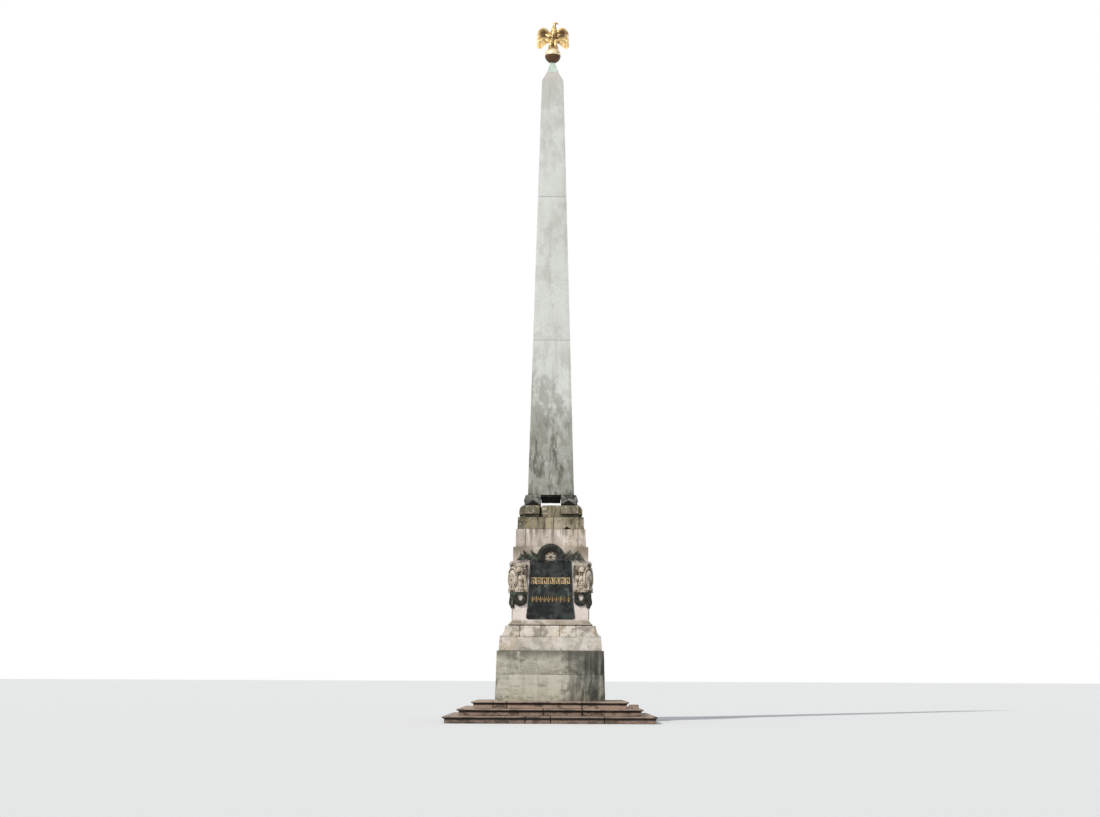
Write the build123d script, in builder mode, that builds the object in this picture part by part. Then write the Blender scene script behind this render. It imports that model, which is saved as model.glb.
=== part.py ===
from build123d import *
import math
import os

# A square memorial obelisk on three steps. Millimetres, +Z up, origin on the ground at the
# middle of the lowest step. The front looks toward -Y and +X is at the viewer's right.

# Heights of the courses, from the ground up
RISER = 195
BASE_LOWER_HEIGHT = 738
BASE_UPPER_HEIGHT = 655
BATTER_HEIGHT = 382
HOLLOW_HEIGHT = 321
DIE_HEIGHT = 2234
LOWER_SHOULDER_HEIGHT = 515
UPPER_SHOULDER_HEIGHT = 348
CAP_HEIGHT = 355
SUPPORT_HEIGHT = 308
SHAFT_LOWER_HEIGHT = 4585
SHAFT_MIDDLE_HEIGHT = 4389
SHAFT_UPPER_HEIGHT = 3664
POINT_HEIGHT = 319
APEX_HEIGHT = 377

# Half widths of the square plan, at the foot of a course where it narrows, and batters in degrees
STEP_HALF = 2926
TREAD = 375
BASE_HALF = 1537
BASE_TAPER = 1.4
BATTER_HALF = 1455
BATTER_TAPER = 4.5
HOLLOW_FOOT_RISE = 32
HOLLOW_TOP_HALF = 1275
DIE_HALF = 1080
DIE_TAPER = 0.2
DIE_FLARE = 113
DIE_FLARE_HEIGHT = 262
DIE_BED = 14
LOWER_SHOULDER_HALF = 1010
UPPER_SHOULDER_HALF = 957
SHOULDER_TAPER = 1.9
CAP_HALF = 790
SHAFT_HALF = 668.5
SHAFT_TOP_HALF = 328
APEX_HALF = 176.5
TIP_HALF = 55

# Step edge: a rounded nosing over a small hollow
NOSING_THICK = 58
NOSING_REACH = 62

# Cap course: half width of the arms of its middle stone, and the ears of its corner stones
CAP_SPLIT = 270
EAR_INSET = 14
EAR_REACH = 122
EAR_HEIGHT = 274

# Shaft supports with diamond-pointed outer faces
SUPPORT_INNER = 291
SUPPORT_WIDTH = 438
SUPPORT_POINT = 59

# Dark tenon that hangs under the shaft between its supports
TENON_HALF = 280
TENON_DROP = 104

# Ball in its seat on the tip, and the eagle, whose parts all follow from its height
BALL_R = 243
SEAT_DEPTH = 23
SEAT_GAP = 0.3
EAGLE_HEIGHT = 822

# Chip out of the upper shoulder's front lower edge
CHIP_START = 375
CHIP_WIDTH = 205
CHIP_RISE = 74
CHIP_DEPTH = 60

# Plaques, from a rise over the die's foot to a drop under its top
PLAQUE_RISE = 181
PLAQUE_DROP = 397
PLAQUE_TOP_HALF = 590
PLAQUE_WAIST_HALF = 628
PLAQUE_FOOT_HALF = 692
PLAQUE_PROUD = 32
PLAQUE_BORDER = 64
PLAQUE_SUNK = 12
PLAQUE_CHAMFER = 46

# Wreath over the plaque, medallion inside it and laurel sprays beside it
WREATH_RISE = 94
WREATH_R = 376
WREATH_BAND = 112
WREATH_PROUD = 128
MEDALLION_R = 187
MEDALLION_PROUD = 30
SPRAY_RISE = 92
SPRAY_PROUD = 84
SPRAY_INSET = 108
SPRAY_STEM = 24
LEAF_LENGTH = 210
LEAF_WIDTH = 78

# Corner trophies, which hang down from the plaque's top
TROPHY_HEIGHT = 879
CUIRASS_R = 152
HELMET_R = 106
SHIELD_HALF = 190

# Festoons under the trophies
SWAG_DEPTH = 412
SWAG_HALF = 132
SWAG_R = 60
TAIL_DROP = 480
TAIL_R = 68
SIDE_GAP = 8

# Levels above the ground
STEPS_TOP_Z = 3 * RISER
BASE_JOINT_Z = STEPS_TOP_Z + BASE_LOWER_HEIGHT
BASE_TOP_Z = BASE_JOINT_Z + BASE_UPPER_HEIGHT
BATTER_TOP_Z = BASE_TOP_Z + BATTER_HEIGHT
DIE_Z = BATTER_TOP_Z + HOLLOW_HEIGHT
DIE_TOP_Z = DIE_Z + DIE_HEIGHT
LOWER_SHOULDER_TOP_Z = DIE_TOP_Z + LOWER_SHOULDER_HEIGHT
CAP_Z = LOWER_SHOULDER_TOP_Z + UPPER_SHOULDER_HEIGHT
CAP_TOP_Z = CAP_Z + CAP_HEIGHT
SHAFT_Z = CAP_TOP_Z + SUPPORT_HEIGHT
SHAFT_JOINT_1_Z = SHAFT_Z + SHAFT_LOWER_HEIGHT
SHAFT_JOINT_2_Z = SHAFT_JOINT_1_Z + SHAFT_MIDDLE_HEIGHT
POINT_Z = SHAFT_JOINT_2_Z + SHAFT_UPPER_HEIGHT
APEX_Z = POINT_Z + POINT_HEIGHT
TIP_Z = APEX_Z + APEX_HEIGHT
BALL_Z = TIP_Z + BALL_R - SEAT_DEPTH
PERCH_Z = BALL_Z + BALL_R
PLAQUE_Z = DIE_Z + PLAQUE_RISE
PLAQUE_TOP_Z = DIE_TOP_Z - PLAQUE_DROP
WREATH_Z = PLAQUE_TOP_Z + WREATH_RISE
TROPHY_Z = PLAQUE_TOP_Z - TROPHY_HEIGHT

SIGNS = {"left": -1, "right": 1}
DEPTHS = {"front": -1, "back": 1}

# Outward direction of each face of the square plan
FACES = {"front": (0, -1), "right": (1, 0), "back": (0, 1), "left": (-1, 0)}


def narrowed(half, rise, degrees):
    """Half width left after a course narrows over a rise."""
    return half - rise * math.tan(math.radians(degrees))


def batter_of(foot_half, top_half, rise):
    """The batter, in degrees, that narrows one half width to another over a rise."""
    return math.degrees(math.atan2(foot_half - top_half, rise))


def face_plane(face_name, out):
    """The upright plane of a face, out from the middle, with its own x to the viewer's right."""
    nx, ny = FACES[face_name]
    return Plane(origin=(nx * out, ny * out, 0), x_dir=(-ny, nx, 0), z_dir=(nx, ny, 0))


def corner_faces(sx, sy):
    """The two faces that meet at a corner, with the side of each on which the corner lies."""
    return (
        ("right" if sx > 0 else "left", sy * sx),
        ("back" if sy > 0 else "front", -sx * sy),
    )


def leaf(x, z, length, width, degrees, side=1):
    """A pointed leaf that starts at x, z and leans by the angle, mirrored where side is -1."""
    ax = math.cos(math.radians(degrees))
    az = math.sin(math.radians(degrees))
    foot = (side * x, z)
    tip = (side * (x + length * ax), z + length * az)
    middle_x = x + 0.45 * length * ax
    middle_z = z + 0.45 * length * az
    for half in (0.5 * width, -0.5 * width):
        ThreePointArc(foot, (side * (middle_x - half * az), middle_z + half * ax), tip)


os.makedirs("parts", exist_ok=True)

# Three steps, each a square slab whose edge is a rounded nosing over a hollow
hollow = 0.42 * NOSING_REACH
for index, step_name in enumerate(("step_bottom", "step_middle", "step_top")):
    half = STEP_HALF - index * TREAD
    foot_z = index * RISER
    top_z = foot_z + RISER
    nose_z = top_z - NOSING_THICK
    nose_half = half - NOSING_THICK / 2
    face = half - NOSING_REACH
    with BuildPart() as step:
        for plane, mode in ((Plane.XZ, Mode.ADD), (Plane.YZ, Mode.INTERSECT)):
            with BuildSketch(plane):
                with BuildLine():
                    Polyline((0, top_z), (0, foot_z), (face, foot_z), (face, nose_z - hollow))
                    RadiusArc((face, nose_z - hollow), (face + hollow, nose_z), 1.05 * hollow)
                    Line((face + hollow, nose_z), (nose_half, nose_z))
                    ThreePointArc((nose_half, nose_z), (half, nose_z + NOSING_THICK / 2), (nose_half, top_z))
                    Line((nose_half, top_z), (0, top_z))
                make_face()
                mirror(about=Plane.YZ)
            extrude(amount=half, both=True, mode=mode)
        if step_name == "step_bottom":
            # The front right corner is broken away in ragged slopes
            with BuildSketch(Plane.XZ.offset(half - 340)):
                with BuildLine():
                    Polyline(
                        (half - 170, top_z + 10),
                        (half - 110, top_z - 28),
                        (half - 40, top_z - 52),
                        (half + 10, top_z - 118),
                        (half + 10, top_z + 10),
                        close=True,
                    )
                make_face()
            extrude(amount=400, mode=Mode.SUBTRACT)
        if step_name == "step_top":
            # The nosing of the last front stone at the right is lost
            with BuildSketch(Plane.XZ.offset(half - 260)):
                with BuildLine():
                    Polyline(
                        (face - 30, foot_z + 92),
                        (face + 5, nose_z - 30),
                        (face + 20, top_z + 10),
                        (half + 10, top_z + 10),
                        (half + 10, foot_z + 92),
                        close=True,
                    )
                make_face()
            extrude(amount=300, mode=Mode.SUBTRACT)
    step.part.label = step_name
    export_step(step.part, f"parts/{step_name}.step")

# The end stone that slid off the top step and lies on the tread of the middle one
stone_x = STEP_HALF - 2 * TREAD
with BuildPart() as loose_end_stone:
    with BuildSketch(Plane.XY.offset(2 * RISER)):
        with BuildLine():
            Polyline(
                (stone_x - 36, -stone_x - 24),
                (stone_x - 26, -stone_x - 174),
                (stone_x + 229, -stone_x - 202),
                (stone_x + 264, -stone_x - 39),
                (stone_x + 124, -stone_x - 2),
                close=True,
            )
        make_face()
    extrude(amount=128, taper=6)
    chamfer(loose_end_stone.faces().sort_by(Axis.Z)[-1].edges(), length=14)
loose_end_stone.part.label = "loose_end_stone"
export_step(loose_end_stone.part, "parts/loose_end_stone.step")

# Plain square courses that narrow a little: foot level, height, half width at the foot, taper
base_joint_half = narrowed(BASE_HALF, BASE_LOWER_HEIGHT, BASE_TAPER)
shaft_taper = batter_of(SHAFT_HALF, SHAFT_TOP_HALF, POINT_Z - SHAFT_Z)
shaft_joint_1_half = narrowed(SHAFT_HALF, SHAFT_LOWER_HEIGHT, shaft_taper)
shaft_joint_2_half = narrowed(shaft_joint_1_half, SHAFT_MIDDLE_HEIGHT, shaft_taper)
courses = {
    "base_lower_course": (STEPS_TOP_Z, BASE_LOWER_HEIGHT, BASE_HALF, BASE_TAPER),
    "base_upper_course": (BASE_JOINT_Z, BASE_UPPER_HEIGHT, base_joint_half, BASE_TAPER),
    "batter_course": (BASE_TOP_Z, BATTER_HEIGHT, BATTER_HALF, BATTER_TAPER),
    "lower_shoulder_course": (DIE_TOP_Z, LOWER_SHOULDER_HEIGHT, LOWER_SHOULDER_HALF, SHOULDER_TAPER),
    "shaft_lower": (SHAFT_Z, SHAFT_LOWER_HEIGHT, SHAFT_HALF, shaft_taper),
    "shaft_middle": (SHAFT_JOINT_1_Z, SHAFT_MIDDLE_HEIGHT, shaft_joint_1_half, shaft_taper),
}
for course_name, (foot_z, height, foot_half, taper) in courses.items():
    with BuildPart() as course:
        with BuildSketch(Plane.XY.offset(foot_z)):
            Rectangle(2 * foot_half, 2 * foot_half)
        extrude(amount=height, taper=taper)
        if course_name == "shaft_lower":
            with BuildSketch(Plane.XY.offset(foot_z)):
                Rectangle(2 * TENON_HALF, 2 * TENON_HALF)
            extrude(amount=-TENON_DROP)
    course.part.label = course_name
    export_step(course.part, f"parts/{course_name}.step")

# Hollow-moulded course: an upright fillet at the foot, a hollow, then a nearly upright band
batter_top_half = narrowed(BATTER_HALF, BATTER_HEIGHT, BATTER_TAPER)
hollow_z = BATTER_TOP_Z + HOLLOW_FOOT_RISE
with BuildPart() as hollow_course:
    for plane, mode in ((Plane.XZ, Mode.ADD), (Plane.YZ, Mode.INTERSECT)):
        with BuildSketch(plane):
            with BuildLine():
                Polyline((0, DIE_Z), (0, BATTER_TOP_Z), (batter_top_half, BATTER_TOP_Z), (batter_top_half, hollow_z))
                Line((batter_top_half, hollow_z), (batter_top_half - 48, hollow_z + 12))
                ThreePointArc(
                    (batter_top_half - 48, hollow_z + 12),
                    (batter_top_half - 100, hollow_z + 94),
                    (HOLLOW_TOP_HALF + 14, DIE_Z - 86),
                )
                Polyline((HOLLOW_TOP_HALF + 14, DIE_Z - 86), (HOLLOW_TOP_HALF, DIE_Z), (0, DIE_Z))
            make_face()
            mirror(about=Plane.YZ)
        extrude(amount=batter_top_half, both=True, mode=mode)
hollow_course.part.label = "hollow_course"
export_step(hollow_course.part, "parts/hollow_course.step")

# The die: a flared foot over a thin recessed bed, and slightly narrowing faces
die_foot_half = DIE_HALF + DIE_FLARE
die_top_half = narrowed(DIE_HALF, DIE_HEIGHT - DIE_FLARE_HEIGHT, DIE_TAPER)
with BuildPart() as die:
    for plane, mode in ((Plane.XZ, Mode.ADD), (Plane.YZ, Mode.INTERSECT)):
        with BuildSketch(plane):
            with BuildLine():
                Polyline(
                    (0, DIE_TOP_Z),
                    (0, DIE_Z),
                    (die_foot_half - 22, DIE_Z),
                    (die_foot_half - 22, DIE_Z + DIE_BED),
                    (die_foot_half, DIE_Z + DIE_BED),
                    (die_foot_half, DIE_Z + 3 * DIE_BED),
                )
                ThreePointArc(
                    (die_foot_half, DIE_Z + 3 * DIE_BED),
                    (DIE_HALF + 0.28 * DIE_FLARE, DIE_Z + 0.46 * DIE_FLARE_HEIGHT),
                    (DIE_HALF, DIE_Z + DIE_FLARE_HEIGHT),
                )
                Polyline((DIE_HALF, DIE_Z + DIE_FLARE_HEIGHT), (die_top_half, DIE_TOP_Z), (0, DIE_TOP_Z))
            make_face()
            mirror(about=Plane.YZ)
        extrude(amount=die_foot_half, both=True, mode=mode)
die.part.label = "die"
export_step(die.part, "parts/die.step")

# Upper shoulder course with a triangular chip out of its front lower edge
with BuildPart() as upper_shoulder_course:
    with BuildSketch(Plane.XY.offset(LOWER_SHOULDER_TOP_Z)):
        Rectangle(2 * UPPER_SHOULDER_HALF, 2 * UPPER_SHOULDER_HALF)
    extrude(amount=UPPER_SHOULDER_HEIGHT, taper=SHOULDER_TAPER)
    with BuildSketch(Plane.XZ.offset(UPPER_SHOULDER_HALF - CHIP_DEPTH)):
        with BuildLine():
            Polyline(
                (CHIP_START, LOWER_SHOULDER_TOP_Z),
                (CHIP_START + CHIP_WIDTH / 3, LOWER_SHOULDER_TOP_Z + CHIP_RISE),
                (CHIP_START + CHIP_WIDTH, LOWER_SHOULDER_TOP_Z),
                close=True,
            )
        make_face()
    extrude(amount=2 * CHIP_DEPTH, mode=Mode.SUBTRACT)
upper_shoulder_course.part.label = "upper_shoulder_course"
export_step(upper_shoulder_course.part, "parts/upper_shoulder_course.step")

# Cap course: a cross-shaped core between four corner stones
with BuildPart() as cap_core:
    with BuildSketch(Plane.XY.offset(CAP_Z)):
        Rectangle(2 * CAP_HALF, 2 * CAP_SPLIT)
        Rectangle(2 * CAP_SPLIT, 2 * CAP_HALF)
    extrude(amount=CAP_HEIGHT)
cap_core.part.label = "cap_core"
export_step(cap_core.part, "parts/cap_core.step")

# Corner stones of the cap, each with a rounded ear on both of its outer faces
corner_middle = (CAP_SPLIT + CAP_HALF) / 2
corner_width = CAP_HALF - CAP_SPLIT
ear_start = CAP_SPLIT + EAR_INSET
ear_run = CAP_HALF - ear_start
ear_reach = CAP_HALF + EAR_REACH
ear_bottom_z = CAP_TOP_Z - EAR_HEIGHT
ear_shoulder = 0.6 * EAR_HEIGHT
for depth_name, sy in DEPTHS.items():
    for side_name, sx in SIGNS.items():
        corner_name = f"cap_corner_{depth_name}_{side_name}"
        with BuildPart() as cap_corner:
            with BuildSketch(Plane.XY.offset(CAP_Z)):
                with Locations((sx * corner_middle, sy * corner_middle)):
                    Rectangle(corner_width, corner_width)
            extrude(amount=CAP_HEIGHT)
            ears = (
                (Plane.YZ.offset(sx * ear_start), sy, sx * ear_run),
                (Plane.XZ.offset(-sy * ear_start), sx, -sy * ear_run),
            )
            for plane, sign, run in ears:
                with BuildSketch(plane):
                    with BuildLine():
                        Polyline(
                            (sign * (CAP_HALF + 10), CAP_TOP_Z),
                            (sign * (CAP_HALF - 60), CAP_TOP_Z),
                            (sign * (CAP_HALF - 60), ear_bottom_z),
                            (sign * (ear_reach - 14), ear_bottom_z),
                            (sign * ear_reach, ear_bottom_z + 22),
                            (sign * ear_reach, CAP_TOP_Z - ear_shoulder),
                        )
                        ThreePointArc(
                            (sign * ear_reach, CAP_TOP_Z - ear_shoulder),
                            (sign * (CAP_HALF + 0.7 * EAR_REACH), CAP_TOP_Z - 0.4 * ear_shoulder),
                            (sign * (CAP_HALF + 10), CAP_TOP_Z),
                        )
                    make_face()
                extrude(amount=run)
        cap_corner.part.label = corner_name
        export_step(cap_corner.part, f"parts/{corner_name}.step")

# Four supports that carry the shaft clear of the cap, with diamond points on the outer faces
support_outer = SUPPORT_INNER + SUPPORT_WIDTH
support_middle = SUPPORT_INNER + SUPPORT_WIDTH / 2
for depth_name, sy in DEPTHS.items():
    for side_name, sx in SIGNS.items():
        support_name = f"shaft_support_{depth_name}_{side_name}"
        with BuildPart() as shaft_support:
            with BuildSketch(Plane.XY.offset(CAP_TOP_Z)):
                with Locations((sx * support_middle, sy * support_middle)):
                    Rectangle(SUPPORT_WIDTH, SUPPORT_WIDTH)
            extrude(amount=SUPPORT_HEIGHT)
            for face_name, side in corner_faces(sx, sy):
                middle = (side * support_middle, CAP_TOP_Z + SUPPORT_HEIGHT / 2)
                with BuildSketch(face_plane(face_name, support_outer)):
                    with Locations(middle):
                        Rectangle(SUPPORT_WIDTH, SUPPORT_HEIGHT)
                with BuildSketch(face_plane(face_name, support_outer + SUPPORT_POINT)):
                    with Locations(middle):
                        Rectangle(SUPPORT_WIDTH * 0.03, SUPPORT_HEIGHT * 0.03)
                loft(ruled=True)
        shaft_support.part.label = support_name
        export_step(shaft_support.part, f"parts/{support_name}.step")

# Top stone of the shaft with the steeper stone part of the point
with BuildPart() as shaft_upper:
    with BuildSketch(Plane.XY.offset(SHAFT_JOINT_2_Z)):
        Rectangle(2 * shaft_joint_2_half, 2 * shaft_joint_2_half)
    extrude(amount=SHAFT_UPPER_HEIGHT, taper=shaft_taper)
    with BuildSketch(Plane.XY.offset(POINT_Z)):
        Rectangle(2 * SHAFT_TOP_HALF, 2 * SHAFT_TOP_HALF)
    extrude(amount=POINT_HEIGHT, taper=batter_of(SHAFT_TOP_HALF, APEX_HALF, POINT_HEIGHT))
shaft_upper.part.label = "shaft_upper"
export_step(shaft_upper.part, "parts/shaft_upper.step")

# Pale cap of the point, hollowed at its tip as a seat for the ball
with BuildPart() as apex_cap:
    with BuildSketch(Plane.XY.offset(APEX_Z)):
        Rectangle(2 * APEX_HALF, 2 * APEX_HALF)
    extrude(amount=APEX_HEIGHT, taper=batter_of(APEX_HALF, TIP_HALF, APEX_HEIGHT))
    with Locations((0, 0, BALL_Z)):
        Sphere(BALL_R + SEAT_GAP, mode=Mode.SUBTRACT)
apex_cap.part.label = "apex_cap"
export_step(apex_cap.part, "parts/apex_cap.step")

with BuildPart() as ball:
    with Locations((0, 0, BALL_Z)):
        Sphere(BALL_R)
ball.part.label = "ball"
export_step(ball.part, "parts/ball.step")

# The eagle in parts of its height, made from its perch up and set on the ball last. Sections of
# the body: level, sideways middle, depth middle, half width and half depth
E = EAGLE_HEIGHT
BODY_SECTIONS = (
    (0.185, 0.018, 0.055, 0.073, 0.075),
    (0.320, 0.027, 0.034, 0.128, 0.119),
    (0.465, 0.039, 0.010, 0.154, 0.141),
    (0.640, 0.047, -0.004, 0.122, 0.114),
    (0.770, 0.050, -0.012, 0.074, 0.078),
    (0.939, 0.058, -0.033, 0.048, 0.050),
)
# Sections of the hooked beak: sideways place, depth middle, level and half sizes
BEAK_SECTIONS = (
    (0.097, -0.041, 0.929, 0.029, 0.032),
    (0.152, -0.046, 0.917, 0.018, 0.021),
    (0.182, -0.049, 0.893, 0.006, 0.009),
)
HEAD_R = 0.0632
with BuildPart() as eagle_body:
    for level, x, y, half_width, half_depth in BODY_SECTIONS:
        with BuildSketch(Plane.XY.offset(level * E)):
            with Locations((x * E, y * E)):
                Ellipse(half_width * E, half_depth * E)
    loft(ruled=True)
    with Locations((0.063 * E, -0.034 * E, (1 - HEAD_R) * E)):
        Sphere(HEAD_R * E)
    for x, y, level, half_width, half_height in BEAK_SECTIONS:
        with BuildSketch(Plane.YZ.offset(x * E)):
            with Locations((y * E, level * E)):
                Ellipse(half_width * E, half_height * E)
    loft(ruled=True)
    # Feathered thighs down to the feet on the ball
    for sx in SIGNS.values():
        foot = Plane(origin=(sx * 0.085 * E, -0.073 * E, -0.028 * E), z_dir=(-sx * 0.05, 0.25, 1))
        for rise, radius in ((0, 0.051), (0.085, 0.037), (0.316, 0.075)):
            with BuildSketch(foot.offset(rise * E)):
                RegularPolygon(radius * E, 8)
        loft(ruled=True)
    # Spread tail, down behind the ball
    with BuildSketch(Plane.XZ.offset(-0.085 * E)):
        with BuildLine():
            Polyline(
                (-0.061 * E, 0.392 * E),
                (-0.146 * E, 0.027 * E),
                (0, -0.028 * E),
                (0.164 * E, 0.027 * E),
                (0.097 * E, 0.392 * E),
                close=True,
            )
        make_face()
    extrude(amount=-0.071 * E)
    with Locations((0, 0, -BALL_R)):
        Sphere(BALL_R + SEAT_GAP, mode=Mode.SUBTRACT)

# Wings with their tips down, as feathered outlines: the long feathers, then two shorter rows
# that overlap them toward the shoulder. Sideways place and level, in parts of the height
WING_ROWS = (
    (
        (0.085, 0.623),
        (0.182, 0.726),
        (0.304, 0.766),
        (0.408, 0.745),
        (0.523, 0.641),
        (0.594, 0.465),
        (0.584, 0.221),
        (0.523, 0.022),
        (0.477, 0.112),
        (0.420, 0.075),
        (0.371, 0.161),
        (0.310, 0.136),
        (0.262, 0.234),
        (0.201, 0.234),
        (0.158, 0.331),
        (0.109, 0.392),
    ),
    (
        (0.091, 0.623),
        (0.182, 0.720),
        (0.304, 0.759),
        (0.408, 0.738),
        (0.517, 0.635),
        (0.582, 0.477),
        (0.547, 0.367),
        (0.487, 0.392),
        (0.426, 0.319),
        (0.365, 0.380),
        (0.292, 0.331),
        (0.231, 0.416),
        (0.158, 0.404),
    ),
    (
        (0.097, 0.623),
        (0.182, 0.713),
        (0.304, 0.752),
        (0.408, 0.730),
        (0.505, 0.629),
        (0.535, 0.550),
        (0.450, 0.562),
        (0.365, 0.501),
        (0.280, 0.562),
        (0.182, 0.513),
    ),
)
ROW_THICK = (0.056, 0.027, 0.024)
perch = Location((0, 0, PERCH_Z))
for side_name, sx in SIGNS.items():
    wing_name = f"eagle_wing_{side_name}"
    with BuildPart() as eagle_wing:
        front = -0.024 * E
        for outline, thick in zip(WING_ROWS, ROW_THICK):
            with BuildSketch(Plane.XZ.offset(front)):
                with BuildLine():
                    Polyline([(sx * x * E, level * E) for x, level in outline], close=True)
                make_face()
            extrude(amount=thick * E)
            front += thick * E
        add(eagle_body.part, mode=Mode.SUBTRACT)
        with Locations((0, 0, -BALL_R)):
            Sphere(BALL_R + SEAT_GAP, mode=Mode.SUBTRACT)
    eagle_wing.part.locate(perch)
    eagle_wing.part.label = wing_name
    export_step(eagle_wing.part, f"parts/{wing_name}.step")
eagle_body.part.locate(perch)
eagle_body.part.label = "eagle_body"
export_step(eagle_body.part, "parts/eagle_body.step")

# Dark stone plaques, one on each face, spreading toward the foot inside a raised border
plaques = {}
plaque_face = die_top_half + PLAQUE_PROUD
plaque_waist_z = PLAQUE_Z + 0.35 * (PLAQUE_TOP_Z - PLAQUE_Z)
for face_name in FACES:
    plaque_name = f"plaque_{face_name}"
    with BuildPart() as plaque:
        for out, inset, amount, mode in (
            (die_top_half - 10, 0, PLAQUE_PROUD + 10, Mode.ADD),
            (plaque_face, PLAQUE_BORDER, -PLAQUE_SUNK, Mode.SUBTRACT),
        ):
            with BuildSketch(face_plane(face_name, out)):
                with BuildLine():
                    Polyline(
                        (-PLAQUE_TOP_HALF, PLAQUE_TOP_Z),
                        (-PLAQUE_WAIST_HALF, plaque_waist_z),
                        (-PLAQUE_FOOT_HALF, PLAQUE_Z + PLAQUE_CHAMFER),
                        (-PLAQUE_FOOT_HALF + PLAQUE_CHAMFER, PLAQUE_Z),
                        (0, PLAQUE_Z),
                        (0, PLAQUE_TOP_Z),
                        close=True,
                    )
                make_face()
                mirror(about=Plane.YZ)
                if inset:
                    offset(amount=-inset, kind=Kind.INTERSECTION, mode=Mode.REPLACE)
            extrude(amount=amount, mode=mode)
        add(die.part, mode=Mode.SUBTRACT)
    plaque.part.label = plaque_name
    export_step(plaque.part, f"parts/{plaque_name}.step")
    plaques[face_name] = plaque.part

# Bronze laurel wreath that stands on the plaque, its sprays, and the pale medallion inside it
ring_r = WREATH_R - WREATH_BAND / 2
spray_z = PLAQUE_TOP_Z + SPRAY_RISE
spray_start = ring_r
spray_length = die_top_half - SPRAY_INSET - spray_start
# Leaves of a spray: place along the stem, length in leaf lengths, lean in degrees
SPRAY_LEAVES = (
    (0.02, 0.95, 42),
    (0.04, 0.95, -27),
    (0.14, 1.28, 54),
    (0.28, 1.00, -27),
    (0.46, 1.28, 51),
    (0.53, 0.98, -26),
    (0.66, 1.15, -22),
)
for face_name in ("front", "back"):
    nx, ny = FACES[face_name]
    die_face = face_plane(face_name, die_top_half)
    wreath_axis = Axis((0, 0, WREATH_Z), (0, ny, 0))
    section_plane = Plane(origin=(0, ny * die_top_half, WREATH_Z), x_dir=(1, 0, 0), z_dir=(0, 0, -ny))
    with BuildPart() as wreath:
        # Section out from the die: a sloping inner rim, then the full band of leaves
        with BuildSketch(section_plane):
            with BuildLine():
                Polyline(
                    (MEDALLION_R + 1, -10),
                    (MEDALLION_R + 1, 0.3 * WREATH_PROUD),
                    (ring_r - 0.5 * WREATH_BAND, 0.62 * WREATH_PROUD),
                    (ring_r - 0.32 * WREATH_BAND, 0.88 * WREATH_PROUD),
                    (ring_r + 0.22 * WREATH_BAND, 0.88 * WREATH_PROUD),
                    (ring_r + 0.4 * WREATH_BAND, 0.6 * WREATH_PROUD),
                    (ring_r + 0.4 * WREATH_BAND, -10),
                    close=True,
                )
            make_face()
        revolve(axis=wreath_axis)
        with BuildSketch(die_face):
            for row_r, count, lean in ((ring_r + 0.1 * WREATH_BAND, 14, 16), (ring_r - 0.1 * WREATH_BAND, 13, -16)):
                for index in range(count):
                    turn = 360 * (index + 0.25) / count
                    leaf_x = row_r * math.cos(math.radians(turn))
                    leaf_z = WREATH_Z + row_r * math.sin(math.radians(turn))
                    with BuildLine():
                        leaf(leaf_x, leaf_z, WREATH_BAND, 0.54 * WREATH_BAND, turn + 90 - lean)
                    make_face()
        extrude(amount=WREATH_PROUD)
        split(bisect_by=die_face, keep=Keep.TOP)
        split(bisect_by=Plane.XY.offset(PLAQUE_TOP_Z), keep=Keep.TOP)
        # Sprays of laurel to both sides, each a stem with pairs of leaves and one at the end
        with BuildSketch(die_face):
            for sx in SIGNS.values():
                with Locations((sx * (spray_start + 0.32 * spray_length), spray_z)):
                    Rectangle(0.66 * spray_length, SPRAY_STEM)
                for place, length, lean in SPRAY_LEAVES:
                    leaf_x = spray_start + place * spray_length
                    with BuildLine():
                        leaf(leaf_x, spray_z, length * LEAF_LENGTH, LEAF_WIDTH, lean, side=sx)
                    make_face()
        extrude(amount=SPRAY_PROUD)
        add(die.part, mode=Mode.SUBTRACT)
        add(plaques[face_name], mode=Mode.SUBTRACT)
    wreath.part.label = f"wreath_{face_name}"
    export_step(wreath.part, f"parts/wreath_{face_name}.step")

    with BuildPart() as medallion:
        with BuildSketch(face_plane(face_name, die_top_half - 8)):
            with Locations((0, WREATH_Z)):
                Circle(MEDALLION_R)
        extrude(amount=MEDALLION_PROUD + 8)
        # A plain rosette of eight petals
        with BuildSketch(face_plane(face_name, die_top_half + MEDALLION_PROUD)):
            with Locations((0, WREATH_Z)):
                Circle(0.2 * MEDALLION_R)
            for index in range(8):
                with BuildLine():
                    leaf(0, WREATH_Z, 0.82 * MEDALLION_R, 0.32 * MEDALLION_R, 45 * index)
                make_face()
        extrude(amount=22)
        split(bisect_by=Plane.XY.offset(PLAQUE_TOP_Z), keep=Keep.TOP)
        add(die.part, mode=Mode.SUBTRACT)
        add(plaques[face_name], mode=Mode.SUBTRACT)
    medallion.part.label = f"medallion_{face_name}"
    export_step(medallion.part, f"parts/medallion_{face_name}.step")

# Trophies of arms round the four corners of the die. On both faces a crested helmet over a
# cuirass with its skirt, before two crossed spears and a flag; an oval shield at the corner
T = PLAQUE_TOP_Z - TROPHY_Z
arms_inner = PLAQUE_WAIST_HALF + SIDE_GAP
arms_x = arms_inner + 0.56 * (die_top_half - arms_inner)
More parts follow.
